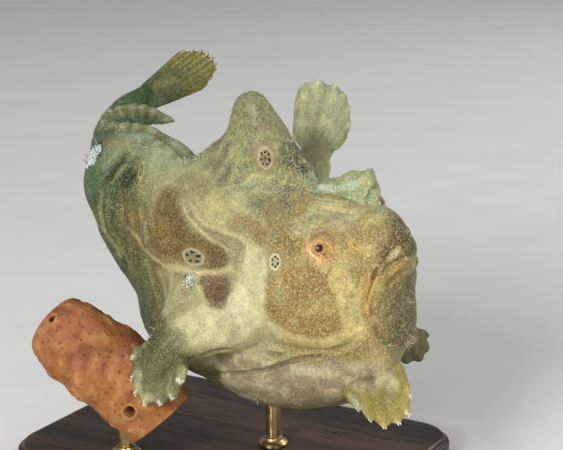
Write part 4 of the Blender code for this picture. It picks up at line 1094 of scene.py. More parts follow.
# Fine lines, thinner than the skin's faces: layer, colour, path, half-width, strength. Lines that
# run close together are in different layers.
FINE_LINES = [
    (0, BAND_CREAM, [(-14.8, -14, 15.9), (-12, -15.8, 12.4), (-9.5, -16.7, 10.6), (-6.6, -17, 8.9),
        (-4.1, -17.1, 7.3), (-1.7, -16.8, 6.2), (0, -16.5, 4.9), (1, -16.3, 3.2)], 0.42, 0.6),
    (1, BAND_CREAM, [(-15, -13.4, 17.2), (-10.2, -15.2, 13.8), (-7.4, -16.4, 11.6), (-4.2, -16.6, 10.3),
        (-0.8, -16.4, 9.6), (2, -15.8, 8.8), (4.7, -15.2, 7.6), (5.9, -15.4, 5.4), (5.9, -16, 3.2),
        (4.2, -16.2, 0.9), (2.7, -16, -1.1)], 0.5, 0.65),
    (0, BAND_CREAM, [(-34.4, -12, 6.3), (-31.1, -12.2, 4.1), (-27.4, -13.4, 1.6), (-24, -14.6, -0.4),
        (-20.5, -15.8, -1.7), (-16.6, -17, -1.9), (-12.4, -18.5, -1.3), (-8, -18.7, -1.4),
        (-4.2, -17.7, -1.3), (-1, -16.6, -0.6), (1, -16.2, 0.6), (1.3, -16.2, 2.6)], 0.65, 0.6),
    (1, BAND_CREAM, [(-6.6, -19.6, -4), (-5.4, -20.4, -5.6), (-3.2, -22, -7.9), (-1.9, -23.3, -9.8),
        (-1.4, -24.5, -11.5)], 0.7, 0.65),
    # The two LIP_SHADE lines are painted shade in two fine grooves along the lip, too fine for the mesh.
    (0, LIP_SHADE, [(42.8, -2.9, 4.2), (41.9, -5.5, 3), (40.4, -8, 1.2)], 0.15, 0.8),
    (1, LIP_SHADE, [(42.7, -3.4, 5), (41.8, -5.9, 3.9), (40.4, -8.2, 2.2)], 0.15, 0.7),
    # The two FIN_GREY lines are painted highlights along the ridges beside the tail's hollows.
    (1, FIN_GREY, [(-38.8, -11.2, 16.2), (-37, -10.8, 18.8), (-34.6, -9.2, 22.4)], 0.4, 0.4),
    (0, FIN_GREY, [(-42.4, -9.8, 16.6), (-40.8, -9.6, 20), (-38.2, -8, 23.4)], 0.4, 0.35),
    (0, LIP_GOLD, [(38.8, -10, 1.4), (38.4, -11, -0.9), (38, -12.2, -3.4)], 0.24, 0.9),
    (0, PALE, [(20, -8, 18.2), (23.5, -7.4, 17.6), (27.5, -6, 17.2)], 0.24, 0.8),
    (1, PALE, [(19.5, -6.6, 19), (23, -6.2, 18.4), (27, -5, 18)], 0.24, 0.7),
    # This MOUTH_RUST line along the cheek's crease is partly rust-brown skin and partly painted shade.
    (0, MOUTH_RUST, [(14, -15, -22.4), (18.5, -15.2, -21.4), (23, -15, -20.6)], 0.3, 0.6),
]

# Fins: root colour, edge colour and colour between the rays, in the order of FINS
FIN_TONES = [
    (SPINE_GREEN, SPINE_GREEN, MINT),
    # The soft dorsal fin's dark root is partly its own teal and partly painted shade under its curled fold.
    (TAIL_TEAL, FIN_GREY, REAR_OLIVE),
    (DEEP_GREEN, TAIL_YELLOW, CAUDAL_OLIVE),
    (REAR_GREEN, OCHRE, DEEP_GREEN),
    (ARM_GREEN, HAND_OLIVE, ARM_GREEN),
    (HAND_PALE, HAND_PALE, FIN_GREY),
    (FOOT_YELLOW, TIP_YELLOW, FOOT_YELLOW),
    (BELLY_OLIVE, REAR_OLIVE, BELLY_OLIVE),
]


def with_marks(tone, points, marks):
    """Paint marks: full inside their half-width, and gone a little beyond it. On the flank and the
    cheek the distance sideways counts half, as the skin there faces sideways."""
    patchy = 0.86 + 0.3 * lattice_noise(points, 0.9, 27)
    for colour, path, width, strength in marks:
        squeeze = np.array([1, 0.5, 1]) if np.mean(path, 0)[0] < 33 else np.ones(3)
        distance, _ = path_distance(points * squeeze, np.array(path) * squeeze, 1.5 * width + 1, True, 0.5)
        edge = min(0.34 * width, 1.4)
        share = np.where(np.isfinite(distance), 1 - step(width - edge, width + edge, distance), 0)
        tone = painted(tone, (colour, strength * share * patchy))
    return tone


def skin_tones(points, hollow):
    """The tone at each point: grounds that change along and down the body, then the marks one over
    another, then the fins and arms, unevenness of two sizes, and painted shade in the folds' hollows."""
    drift = np.stack([lattice_noise(points, 4.6, seed) for seed in (21, 22, 23)], 1)
    ripple = np.stack([lattice_noise(points, 1.5, seed) for seed in (24, 25, 26)], 1)
    x, y, z = (points + 0.9 * drift + 0.45 * ripple).T
    fine = lattice_noise(points, 0.9, 27)
    middle = lattice_noise(points, 2.4, 28)
    streak = lattice_noise(points * (1.0, 1.0, 0.2), 1.3, 29)
    slant = lattice_noise(np.stack([(x - z) * 0.7, y, (x + z) * 0.16], 1), 1.2, 30)
    net = np.abs(lattice_noise(points + 0.8 * ripple, 3.0, 33))
    worm = np.abs(lattice_noise(points + 0.4 * ripple, 1.5, 34))
    nape = step(14, 22, z + 0.5 * x) * step(-26, -14, x) * (1 - step(12, 18, x))
    rear = 1 - step(-33, -15, x + 0.2 * z)
    throat = (1 - step(-23, -20, z)) * step(-22, -14, x)
    hump = step(17, 23, z + 0.15 * x) * (1 - step(-22, -12, x)) * step(-50, -40, x)
    jaw = step(38, 40.5, x) * (1 - step(-1, 2.5, z))
    tone = painted(
        np.broadcast_to(OLIVE_CREAM, points.shape),
        (TAN, 0.9 * step(7, 17, x + 0.25 * z)),
        (NAPE_GREEN, 0.85 * nape),
        (NAPE_MAUVE, 0.85 * nape * step(0.05, 0.5, slant)),
        (YELLOW_OLIVE, 0.7 * nape * step(0.2, 0.6, -slant)),
        # Towards the tail the grounds turn olive and dark green: partly the fish's own colour, partly painted
        # shade.
        (REAR_OLIVE, 0.9 * rear),
        (REAR_GREEN, 0.9 * (1 - step(-38, -21, x + 0.2 * z))),
        (DEEP_GREEN, 0.5 * (1 - step(-48, -38, x + 0.35 * z))),
        (OCHRE, 0.3 * rear * step(0.2, 0.6, streak)),
        (DEEP_GREEN, 0.55 * rear * step(0.15, 0.55, -streak)),
        (TAIL_TEAL, 0.6 * step(9, 16, z) * (1 - step(-44, -34, x))),
        (TAIL_LIGHT, step(18, 24, z) * (1 - step(-24, -14, x)) * step(-48, -38, x) * 0.85),
        (THROAT, 0.95 * (1 - step(-22.5, -19, z)) * step(-22, -14, x)),
        (JAW_GREY, 0.85 * step(39.6, 42, x) * (1 - step(-1, 2.5, z)) * step(-20, -16, z)),
        (OCHRE, 0.35 * step(0.2, 0.7, middle) * step(8, 16, x)),
        (THROAT_MAUVE, 0.75 * throat * step(0.2, 0.42, net)),
        (THROAT_PALE, 0.6 * throat * (1 - step(0.04, 0.2, net))),
        (TAIL_PALE, 0.5 * hump * (1 - step(0.05, 0.22, worm))),
        (REAR_OLIVE, 0.5 * hump * step(0.3, 0.5, worm)),
        (CHIN_PALE, 0.5 * jaw * (1 - step(0.05, 0.2, worm))),
        (OLIVE_CREAM, 0.55 * nape * (1 - step(0.05, 0.2, np.abs(slant)))))
    tone = with_marks(tone, points + 0.5 * drift + 0.25 * ripple, MARKS)

    for side in (1, -1):
        centre, along, across, look = eye_axes(side)
        local = (points - centre) @ np.stack([along, across, look], 1)
        away = np.hypot(local[:, 0] / LID_HALF_LENGTH, local[:, 1] / LID_HALF_WIDTH) + 0.1 * middle
        near = (local[:, 2] > -1) * (1 - step(1.55, 2.0, away))
        tone = painted(tone, (EYELID_TAN, 0.75 * near),
                       (EYELID_PALE, 0.45 * near * step(0.1, 0.5, fine) * step(1.2, 1.5, away)))
    number, _, out, ray = fin_places(points)
    left_arm = step(19, 24, points[:, 1]) * step(-14, -11, points[:, 0])
    tone = painted(tone, (HAND_PALE, left_arm), (ARM_GREEN, 0.85 * step(27, 30.5, -points[:, 1])))
    for index, (root, edge, web) in enumerate(FIN_TONES):
        own = (number == index) * step(0.12, 0.4, out)
        fin = painted(np.broadcast_to(root, points.shape), (edge, step(0.3, 1.0, out)),
                      (web, (1 - ray) * 0.7))
        tone = tone + (fin - tone) * own[:, None]
    tips = (number >= 2) * step(0.9, 0.97, out) * step(0.72, 0.95, ray)
    on_hands = (number == 4) | (number == 5) | (left_arm > 0.5)
    tone = painted(tone, (TIP_WHITE, 0.85 * tips), (CREAM, 0.45 * step(0.1, 0.6, middle) * on_hands))
    tone = with_marks(tone, points + 0.25 * ripple, FIN_MARKS)
    tone = tone * (1 + 0.16 * middle + 0.13 * fine)[:, None]
    # Painted shade: each point darkens by the depth of its fold's hollow.
    tone = tone * (1 - 0.55 * np.clip(hollow, 0, 1))[:, None]
    return np.clip(tone, 0.004, 0.95), number


def skin_detail(points, tone, number):
    """How strong the finer patterns are at each point: dark dots, more on dark tones, a light net
    on the head, and glints, painted highlights, on the head, the spines and dark clouds."""
    x, _, z = points.T
    light = tone.mean(1)
    patchy = 0.5 + 0.5 * lattice_noise(points, 3.2, 31)
    dots = np.clip(1.15 - 2.2 * light, 0.08, 1.0) * (0.6 + 0.8 * patchy)
    dots = np.where(number >= 2, 0.3 * dots, dots) * step(-26, -20, z) * (1 - 0.6 * step(38, 40, x) * (z < 0))
    glints = 0.22 + 0.55 * step(8, 18, x) * step(-16, -8, z) + 0.3 * step(16, 28, z) * step(-20, -8, x)
    return np.stack([dots, 0.25 + 0.5 * step(4, 16, x) * step(-24, -18, z), glints * (0.5 + patchy)], 1)


LINE_STEPS = 400
LINE_REACH = 3.0


def line_marks(points, normals):
    """For each point, the nearest fine line's colour, and for both layers how far aside of a line it
    is, in eighths of half-widths from 0.5, and the line's strength. As the distance has a sign, the
    material finds the line between points that are further apart than it is wide."""
    side = np.where(points[:, 1:2] > 0, -1, 1) * np.array([0, 1, 0]) + np.array([1, 0, 1])
    points, normals = points * side, normals * side
    marks, tone = np.zeros((len(points), 4)), np.zeros((len(points), 3))
    nearest = np.full(len(points), np.inf)
    marks[:, ::2] = 1.0
    for layer, colour, path, width, strength in FINE_LINES:
        distance, share = path_distance(points, path, LINE_REACH)
        near = np.flatnonzero(distance < LINE_REACH)
        track = smooth_path(path, LINE_STEPS)
        place = (share[near] * (LINE_STEPS - 1)).astype(int)
        across = unit(np.cross(np.gradient(track, axis=0)[place], normals[near]))
        aside = ((points[near] - track[place]) * across).sum(1) / width
        patchy = 0.85 + 0.4 * lattice_noise(points[near], 2.2, 35)
        power = strength * patchy * step(0, 0.1, share[near]) * step(0, 0.1, 1 - share[near])
        power = power * (1 - step(1.6, 2.6, distance[near]))
        stronger = power > marks[near, 2 * layer + 1]
        marks[near[stronger], 2 * layer] = 0.5 + np.clip(aside[stronger] / 8, -0.5, 0.5)
        marks[near[stronger], 2 * layer + 1] = power[stronger]
        closer = distance[near] < nearest[near]
        nearest[near[closer]], tone[near[closer]] = distance[near[closer]], colour
    return marks, tone


# Eyespots: centre, the way the skin faces, half-sizes, lean in degrees, strength, halo, inside
# colour, ring colour, dots round the rim and speckle inside
RUST_INSIDE, GREY_INSIDE, PALE_INSIDE = (0.20, 0.085, 0.02), (0.20, 0.19, 0.09), (0.42, 0.41, 0.22)
SPOT_RING, SPOT_RING_DIM = (0.62, 0.58, 0.36), (0.40, 0.345, 0.20)
SPOT_SPECK, SPOT_CORE = (0.44, 0.36, 0.19, 1), (0.035, 0.014, 0.006, 1)
SPOT_DOT = (0.020, 0.014, 0.010, 1)
EYESPOTS = [
    ((5.4, -6.3, 27.1), (0.27, -0.91, 0.33), (1.75, 2.55), 14, 1.0, 0.85, RUST_INSIDE, SPOT_RING_DIM, 7, 1.0),
    ((-8.9, -18, 2.2), (0.04, -0.99, 0.13), (2.7, 1.8), -8, 1.0, 0.45, GREY_INSIDE, SPOT_RING_DIM, 5, 0.15),
    ((15.4, -18.5, 4.4), (-0.11, -0.95, 0.28), (1.5, 1.75), 15, 1.0, 0.35, PALE_INSIDE, SPOT_RING, 6, 0.1),
    ((10.8, -10.7, 15), (-0.14, -0.67, 0.73), (1.2, 1.4), 0, 0.35, 0.3, GREY_INSIDE, SPOT_RING_DIM, 4, 0.3),
    ((13.5, -15.2, 10.7), (-0.18, -0.82, 0.55), (1.2, 1.2), 0, 0.35, 0.2, GREY_INSIDE, SPOT_RING_DIM, 4, 0.3),
    ((17.7, -14.2, 12.8), (-0.03, -0.76, 0.65), (0.9, 0.9), 0, 0.4, 0.4, GREY_INSIDE, SPOT_RING_DIM, 3, 0.5),
    ((16.9, -19.6, -4.3), (-0.05, -1, -0.05), (1.9, 1.7), 0, 0.3, 0.1, TAN, SPOT_RING_DIM, 5, 0.0),
    ((20.9, -19, -9.8), (0.1, -0.98, -0.15), (0.9, 0.9), 0, 0.3, 0.0, YELLOW_OLIVE, SPOT_RING_DIM, 3, 0.0),
    ((-30, -9.5, 20.6), (0.2, -0.85, 0.5), (0.7, 2.2), 0, 0.6, 0.3, GREY_INSIDE, YELLOW_OLIVE, 0, 0.4),
    ((45, -14.6, -26.1), (-0.38, -0.91, 0.18), (0.8, 0.9), 0, 0.5, 0.1, GREY_INSIDE, SPOT_RING_DIM, 3, 0.0),
]


def group_sockets(group, inputs, outputs):
    """Give a node group its named sockets, and its ends as nodes."""
    for direction, sockets in (("INPUT", inputs), ("OUTPUT", outputs)):
        for name, kind in sockets.items():
            group.interface.new_socket(name, in_out=direction, socket_type="NodeSocket" + kind)
    return group.nodes.new("NodeGroupInput").outputs, group.nodes.new("NodeGroupOutput").inputs


def make_eyespot_group():
    """A ringed spot: the place is brought into the spot's own axes, where its length is 1 on the
    ring and noise makes the outline uneven. Dark dots stand at even turns round the rim, each the
    distance from 0.68 out and from its turn; speckle fills the middle, and a halo fades outside."""
    group = bpy.data.node_groups.new("ringed_eyespot", "ShaderNodeTree")
    given, made = group_sockets(group, {
        "Place": "Vector", "Colour": "Color", "Centre": "Vector", "Turn": "Vector", "Sizes": "Vector",
        "Strength": "Float", "Halo": "Float", "Inside": "Color", "Ring": "Color", "Rim dots": "Float",
        "Speckle": "Float", "Specks": "Float"}, {"Colour": "Color"})
    local = add_node(group, "Mapping", {"Vector": given["Place"], "Location": given["Centre"],
                                        "Rotation": given["Turn"], "Scale": given["Sizes"]},
                     vector_type="TEXTURE").outputs[0]
    shift = add_node(group, "TexNoise", {"Vector": given["Place"], "Scale": 800.0, "Detail": 1.0})
    shift = add_node(group, "VectorMath", {0: shift.outputs["Color"], 1: (0.5, 0.5, 0.5)},
                     operation="SUBTRACT").outputs[0]
    shift = add_node(group, "VectorMath", {0: shift, 3: 0.45}, operation="SCALE").outputs[0]
    local = add_node(group, "VectorMath", {0: local, 1: shift}, operation="ADD").outputs[0]
    away = add_node(group, "VectorMath", {0: local}, operation="LENGTH").outputs["Value"]
    across = add_node(group, "SeparateXYZ", {0: local}).outputs
    turn = arithmetic(group, "DIVIDE", arithmetic(group, "ARCTAN2", across["Y"], across["X"]), 2 * math.pi)
    place_in_turn = arithmetic(group, "FRACT", product(group, turn, given["Rim dots"]))
    aside = arithmetic(group, "DIVIDE", arithmetic(group, "SUBTRACT", place_in_turn, 0.5), given["Rim dots"])
    aside = product(group, product(group, aside, 2 * math.pi), away)
    beyond = arithmetic(group, "SUBTRACT", away, 0.66)
    gap = arithmetic(group, "SQRT", arithmetic(group, "ADD", product(group, aside, aside),
                                               product(group, beyond, beyond)))
    inside = product(group, between(group, away, 0.86, 0.98, 1.0, 0.0), given["Strength"])
    halo = product(group, between(group, away, 1.2, 2.1, 1.0, 0.0), given["Halo"])
    colour = blended(group, halo, given["Colour"], (*TAN_BROWN, 1), "MIX")
    ring = product(group, between(group, away, 1.08, 1.34, 1.0, 0.0), given["Strength"])
    colour = blended(group, ring, colour, given["Ring"])
    colour = blended(group, inside, colour, given["Inside"])
    speckle = product(group, product(group, given["Specks"], inside), given["Speckle"])
    colour = blended(group, product(group, speckle, 0.85), colour, SPOT_SPECK)
    core = product(group, between(group, away, 0.1, 0.55, 0.8, 0.0), given["Speckle"])
    colour = blended(group, product(group, core, inside), colour, SPOT_CORE)
    dots = product(group, between(group, gap, 0.14, 0.24, 1.0, 0.0), inside)
    colour = blended(group, dots, colour, SPOT_DOT)
    group.links.new(colour, made["Colour"])
    return group


def make_granule_group():
    """Fine granules of the skin: cells of one size give dots in their middles, a light net at
    their borders, and a height that is highest in the middle of each smaller cell."""
    group = bpy.data.node_groups.new("skin_granules", "ShaderNodeTree")
    given, made = group_sockets(group, {"Place": "Vector", "Cells per metre": "Float"},
                                {"Dots": "Float", "Net": "Float", "Height": "Float", "Glints": "Float",
                                 "Specks": "Float"})
    shift = add_node(group, "TexNoise", {"Vector": given["Place"], "Scale": 500.0, "Detail": 2.0})
    shift = add_node(group, "VectorMath", {0: shift.outputs["Color"], 3: 0.0011},
                     operation="SCALE").outputs[0]
    place = add_node(group, "VectorMath", {0: given["Place"], 1: shift}, operation="ADD").outputs[0]
    cells = add_node(group, "TexVoronoi", {"Vector": place, "Scale": given["Cells per metre"]})
    group.links.new(between(group, cells.outputs["Distance"], 0.15, 0.5, 1.0, 0.0), made["Dots"])
    group.links.new(between(group, cells.outputs["Distance"], 0.5, 0.8), made["Net"])
    finer = product(group, given["Cells per metre"], 1.9)
    small = add_node(group, "TexVoronoi", {"Vector": place, "Scale": finer})
    group.links.new(between(group, small.outputs["Distance"], 0.05, 0.6, 1.0, 0.0), made["Height"])
    # Glints: sparse tiny pale specks, painted highlights.
    sparse = add_node(group, "TexVoronoi", {"Vector": given["Place"],
                                            "Scale": product(group, given["Cells per metre"], 0.55)})
    chance = add_node(group, "SeparateColor", {"Color": sparse.outputs["Color"]}).outputs[0]
    glint = product(group, between(group, sparse.outputs["Distance"], 0.08, 0.18, 1.0, 0.0),
                       between(group, chance, 0.38, 0.55))
    group.links.new(glint, made["Glints"])
    group.links.new(between(group, small.outputs["Distance"], 0.3, 0.55), made["Specks"])
    return group


GRANULES_PER_METRE = 1850.0
FLUSH_WARM = (1.0, 0.80, 0.52, 1)
FLUSH_COOL = (0.84, 0.92, 0.84, 1)
NET_CREAM = (0.72, 0.62, 0.32, 1)
DOT_SHADE = (0.36, 0.25, 0.13, 1)
GRAIN_SHADE = (0.58, 0.48, 0.30, 1)
GRAIN_PALE = (0.86, 0.80, 0.50, 1)
GLINT_HIGHLIGHT_WHITE = (0.92, 0.92, 0.82, 1)
GRANULES = make_granule_group()
EYESPOT = make_eyespot_group()


def with_fine_lines(tree, place, colour):
    """Draw the fine lines of both layers where the distance aside of them is near zero, with
    slightly uneven edges."""
    marks = add_node(tree, "Attribute", attribute_name="line_marks").outputs
    tone = kept(tree, "line_tone")
    parts = add_node(tree, "SeparateColor", {"Color": marks["Color"]}).outputs
    wobble = noise(tree, place, 450.0, 2.0)
    wobble = between(tree, wobble, 0.2, 0.8, -0.09, 0.09)
    for aside, strength in ((parts[0], parts[1]), (parts[2], marks["Alpha"])):
        away = arithmetic(tree, "SUBTRACT", arithmetic(tree, "ADD", aside, wobble), 0.5)
        away = arithmetic(tree, "ABSOLUTE", away)
        drawn = product(tree, between(tree, away, 0.0, 0.25, 1.0, 0.0), strength)
        colour = blended(tree, drawn, colour, tone)
    return colour


def frogfish_skin():
    """Moist granular skin: the painted tone with brown dots, a light net and pale glints that are painted
    highlights, ringed eyespots mirrored on both sides, and a bump of granules and fine creases."""
    material, tree, shader = new_material("frogfish_skin", Subsurface_Weight=0.12, Coat_Weight=0.05,
                                          Subsurface_Radius=(1.0, 0.6, 0.3), Subsurface_Scale=0.0009,
                                          Coat_Roughness=0.25, Specular_IOR_Level=0.2)
    place = object_place(tree)
    apart = add_node(tree, "SeparateXYZ", {0: place}).outputs
    folded = product(tree, arithmetic(tree, "ABSOLUTE", apart["Y"]), -1.0)
    on_right = add_node(tree, "CombineXYZ", {"X": apart["X"], "Y": folded, "Z": apart["Z"]}).outputs[0]
    tone = kept(tree, "tone")
    detail = kept(tree, "detail")
    detail = add_node(tree, "SeparateColor", {"Color": detail}).outputs
    granules = add_node(tree, "Group", {"Place": place, "Cells per metre": GRANULES_PER_METRE},
                        node_tree=GRANULES).outputs
    grain = noise(tree, place, 2600.0, 3.0)

    dots = product(tree, granules["Dots"], detail[0])
    net = product(tree, granules["Net"], detail[1])
    glints = product(tree, granules["Glints"], detail[2])
    flush = noise(tree, place, 950.0, 2.0)
    colour = blended(tree, between(tree, flush, 0.45, 0.7, 0.0, 0.35), tone, FLUSH_WARM, "MULTIPLY")
    colour = blended(tree, between(tree, flush, 0.5, 0.28, 0.0, 0.3), colour, FLUSH_COOL, "MULTIPLY")
    colour = blended(tree, product(tree, net, 0.4), colour, NET_CREAM)
    colour = blended(tree, product(tree, dots, 0.85), colour, DOT_SHADE, "MULTIPLY")
    colour = with_fine_lines(tree, place, colour)
    colour = blended(tree, between(tree, grain, 0.3, 0.6, 0.62, 0.0), colour, GRAIN_SHADE, "MULTIPLY")
    colour = blended(tree, between(tree, grain, 0.54, 0.78, 0.0, 0.2), colour, GRAIN_PALE)
    for centre, facing, sizes, lean, strength, halo, inside, ring, rim_dots, speckle in EYESPOTS:
        facing = unit(np.array(facing))
        up = unit(np.array([0, 0, 1]) - facing[2] * facing)
        aside = np.cross(up, facing)
        lean = math.radians(lean)
        up, aside = up * math.cos(lean) - aside * math.sin(lean), aside * math.cos(lean) + up * math.sin(lean)
        turn = Matrix(np.stack([aside, up, facing], 1).tolist()).to_euler()
        colour = add_node(tree, "Group", {
            "Place": on_right, "Colour": colour, "Centre": placed(centre).tolist(), "Turn": tuple(turn),
            "Sizes": (sizes[0] * MM, sizes[1] * MM, 3 * MM), "Strength": strength, "Halo": halo,
            "Inside": (*inside, 1), "Ring": (*ring, 1), "Rim dots": rim_dots, "Speckle": speckle,
            "Specks": granules["Specks"]}, node_tree=EYESPOT).outputs["Colour"]
    # Painted highlights: the pale glints laid over the colour.
    colour = blended(tree, glints, colour, GLINT_HIGHLIGHT_WHITE)
    tree.links.new(colour, shader.inputs["Base Color"])
    tree.links.new(between(tree, grain, 0.3, 0.7, 0.62, 0.42), shader.inputs["Roughness"])
    height = arithmetic(tree, "ADD", product(tree, granules["Height"], 0.7), grain)
    bump_into(tree, shader, height, 0.00016, 0.8)
    return material


skin_points = read_points(skin.data) / MM
hollow = np.empty(len(skin_points))
skin.data.attributes["hollow"].data.foreach_get("value", hollow)
skin_tone, fin_number = skin_tones(skin_points, hollow)
write_tone(skin.data, "tone", skin_tone)
write_tone(skin.data, "detail", skin_detail(skin_points, skin_tone, fin_number))
for layer_name, values in zip(("line_marks", "line_tone"), line_marks(skin_points, read_normals(skin.data))):
    write_tone(skin.data, layer_name, values)
skin.data.materials.append(frogfish_skin())

# Eyes. Glass eyes, as a taxidermist sets them: a dark pupil in an orange ring, an olive iris
# with fine specks and a yellow rim, under a clear gloss. Each sits in its orbit under the lids.
GAZE = np.array([0.338, -0.880, 0.334])
EYE_RINGS, EYE_SIDES = 84, 96
PUPIL_RADIUS, EYE_RING_RADIUS, IRIS_RADIUS = 0.88, 1.26, 2.05
PUPIL = (0.008, 0.004, 0.018)
PUPIL_EDGE = (0.10, 0.035, 0.012)
EYE_ORANGE = (0.60, 0.20, 0.045)
IRIS_TAN = (0.42, 0.29, 0.11)
IRIS_DARK = (0.085, 0.045, 0.020)
IRIS_PALE = (0.66, 0.50, 0.27)
EYE_YELLOW = (0.78, 0.47, 0.13)
EYE_FLECK = (0.5, 0.42, 0.36, 1)


def make_eye(node, side):
    """A ball as rings round the pupil's axis, closer together near it: points are the axis times the
    cosine plus the ring times the sine. Its tones change with the distance from the axis."""
    centre = eye_axes(side)[0]
    gaze = unit(GAZE) * (1, side, 1)
    across = unit(np.cross(gaze, (0, 0, 1)))
    above = np.cross(across, gaze)
    turn = (np.pi - 0.02) * np.linspace(0.02, 1, EYE_RINGS)[:, None, None] ** 1.5
    angle = np.linspace(0, 2 * np.pi, EYE_SIDES, endpoint=False)[:, None]
    ring = np.cos(angle) * across + np.sin(angle) * above
    rings = centre + EYE_RADIUS * (np.cos(turn) * gaze + np.sin(turn) * ring)
    points, faces = closed_shell(rings)
    eye = add_piece(node + "_glass", placed(points), faces)
    away = np.append(EYE_RADIUS * np.sin(turn[:, 0, 0]).repeat(EYE_SIDES), [0, 0])
    away = np.where((points - centre) @ gaze > 0, away, EYE_RADIUS)
    away = away + 0.06 * lattice_noise(points, 0.5, 41)
    speck = lattice_noise(points, 0.33, 42)
    tone = painted(
        np.broadcast_to(IRIS_TAN, points.shape),
        (IRIS_PALE, 0.75 * step(0.1, 0.5, lattice_noise(points, 0.8, 43) + 0.4 * speck)),
        (IRIS_DARK, 0.85 * step(0.35, 0.6, speck)),
        (EYE_ORANGE, 1 - step(EYE_RING_RADIUS - 0.1, EYE_RING_RADIUS + 0.12, away)),
        (PUPIL_EDGE, 1 - step(PUPIL_RADIUS, PUPIL_RADIUS + 0.14, away)),
        (PUPIL, 1 - step(PUPIL_RADIUS - 0.1, PUPIL_RADIUS + 0.04, away)),
        (EYE_YELLOW, 0.85 * step(IRIS_RADIUS - 0.1, IRIS_RADIUS + 0.25, away)))
    write_tone(eye.data, "tone", tone)
    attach(eye, "root")
    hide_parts(node)
    eye.data.materials.append(glass_eye)


def eye_glass():
    """Painted glass under a clear wet gloss."""
    material, tree, shader = new_material("eye_glass", Roughness=0.4, Coat_Weight=0.2, Coat_Roughness=0.03,
                                          Specular_IOR_Level=0.25)
    flecks = between(tree, noise(tree, object_place(tree), 5200.0, 2.0), 0.35, 0.7, 0.0, 0.45)
    colour = blended(tree, flecks, kept(tree, "tone"), EYE_FLECK, "MULTIPLY")
    tree.links.new(colour, shader.inputs["Base Color"])
    return material


glass_eye = eye_glass()
make_eye("eye_right", 1)
make_eye("eye_left", -1)

# Lid rims. The thin wet edge of the skin round each eye: cream flesh with dark red specks, more
# orange towards the nose. It lies on the eyeball inside and runs up on to the lid outside.
RIM_SIDES, RIM_STEPS = 240, 18
RIM_INNER, RIM_OUTER = 0.90, 1.34
RIM_BULGE = 0.3
RIM_BEADS = 21
RIM_CREAM = (0.84, 0.60, 0.27)
RIM_ORANGE = (0.78, 0.28, 0.09)
RIM_SPECK = (0.20, 0.055, 0.03)
FLESH_SHADE = (0.55, 0.42, 0.32, 1)
skin.data.calc_loop_triangles()
skin_faces = np.empty(len(skin.data.loop_triangles) * 3, int)
skin.data.loop_triangles.foreach_get("vertices", skin_faces)
skin_faces = skin_faces.reshape(-1, 3)
skin_tree = BVHTree.FromPolygons(skin_points.tolist(), skin_faces.tolist())


def heights_over_eye(side, x, y):
    """How high the skin stands over places given along and across the lids' opening."""
    centre, along, across, look = eye_axes(side)
    starts = centre + np.outer(x, along) + np.outer(y, across) + 9 * look
    return np.array([9 - skin_tree.ray_cast(Vector(start), Vector(-look))[3] for start in starts])


def make_lid_rim(name, side):
    """A closed band round the opening: over its width it goes from the eyeball's height to the
    skin's with a half sine on top, and comes back underneath."""
    angle = np.linspace(0, 2 * np.pi, RIM_SIDES, endpoint=False)
    half = RIM_STEPS // 2
    share = np.concatenate([np.linspace(0, 1, half), np.linspace(1, 0, half)])[:, None]
    under = np.concatenate([np.zeros(half), np.ones(half)])[:, None]
    spread = (RIM_INNER + (RIM_OUTER - RIM_INNER) * share + 0.02 * np.sin(5 * angle)
              + 0.012 * np.sin(11 * angle))
    x, y = LID_HALF_LENGTH * spread * np.cos(angle), LID_HALF_WIDTH * spread * np.sin(angle)
    inner = np.sqrt(EYE_RADIUS ** 2 - (LID_HALF_LENGTH * RIM_INNER * np.cos(angle)) ** 2
                    - (LID_HALF_WIDTH * RIM_INNER * np.sin(angle)) ** 2) - 0.06
    outer = heights_over_eye(side, LID_HALF_LENGTH * RIM_OUTER * np.cos(angle),
                             LID_HALF_WIDTH * RIM_OUTER * np.sin(angle)) - 0.05
    outer = (np.roll(outer, 2) + outer + np.roll(outer, -2)) / 3
    top = inner + (outer - inner) * share ** 0.8 + RIM_BULGE * np.sin(np.pi * share)
    height = top - under * (0.3 + 0.5 * np.sin(np.pi * share))
    centre, along, across, look = eye_axes(side)
    rings = centre + x[..., None] * along + y[..., None] * across + height[..., None] * look
    points = rings.reshape(-1, 3)
    first = np.arange(len(points)).reshape(share.shape[0], RIM_SIDES)
    beside, below = np.roll(first, -1, 1), np.roll(first, -1, 0)
    faces = np.stack([first, beside, np.roll(below, -1, 1), below], -1).reshape(-1, 4)
    rim = add_piece(name, placed(points), outward(points, faces))
    speck = lattice_noise(points, 0.42, 44)
    nose_side = np.tile(0.5 + 0.5 * np.cos(angle - 0.5), len(share))
    outer_share = np.repeat(step(0.3, 0.8, share[:, 0]), RIM_SIDES)
    beads = np.outer(np.exp(-((share[:, 0] - 0.4) / 0.17) ** 2),
                     step(0.45, 0.8, np.cos(RIM_BEADS * angle + np.sin(2 * angle))))
    tone = painted(
        np.broadcast_to(RIM_CREAM, points.shape),
        (RIM_ORANGE, (0.28 + 0.7 * nose_side) * outer_share),
        (RIM_CREAM, 0.6 * step(0.1, 0.5, -speck)),
        (RIM_SPECK, 0.9 * np.maximum(step(0.4, 0.55, speck), beads.ravel())))
    write_tone(rim.data, "tone", tone)
    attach(rim, "root")
    rim.data.materials.append(wet_flesh)


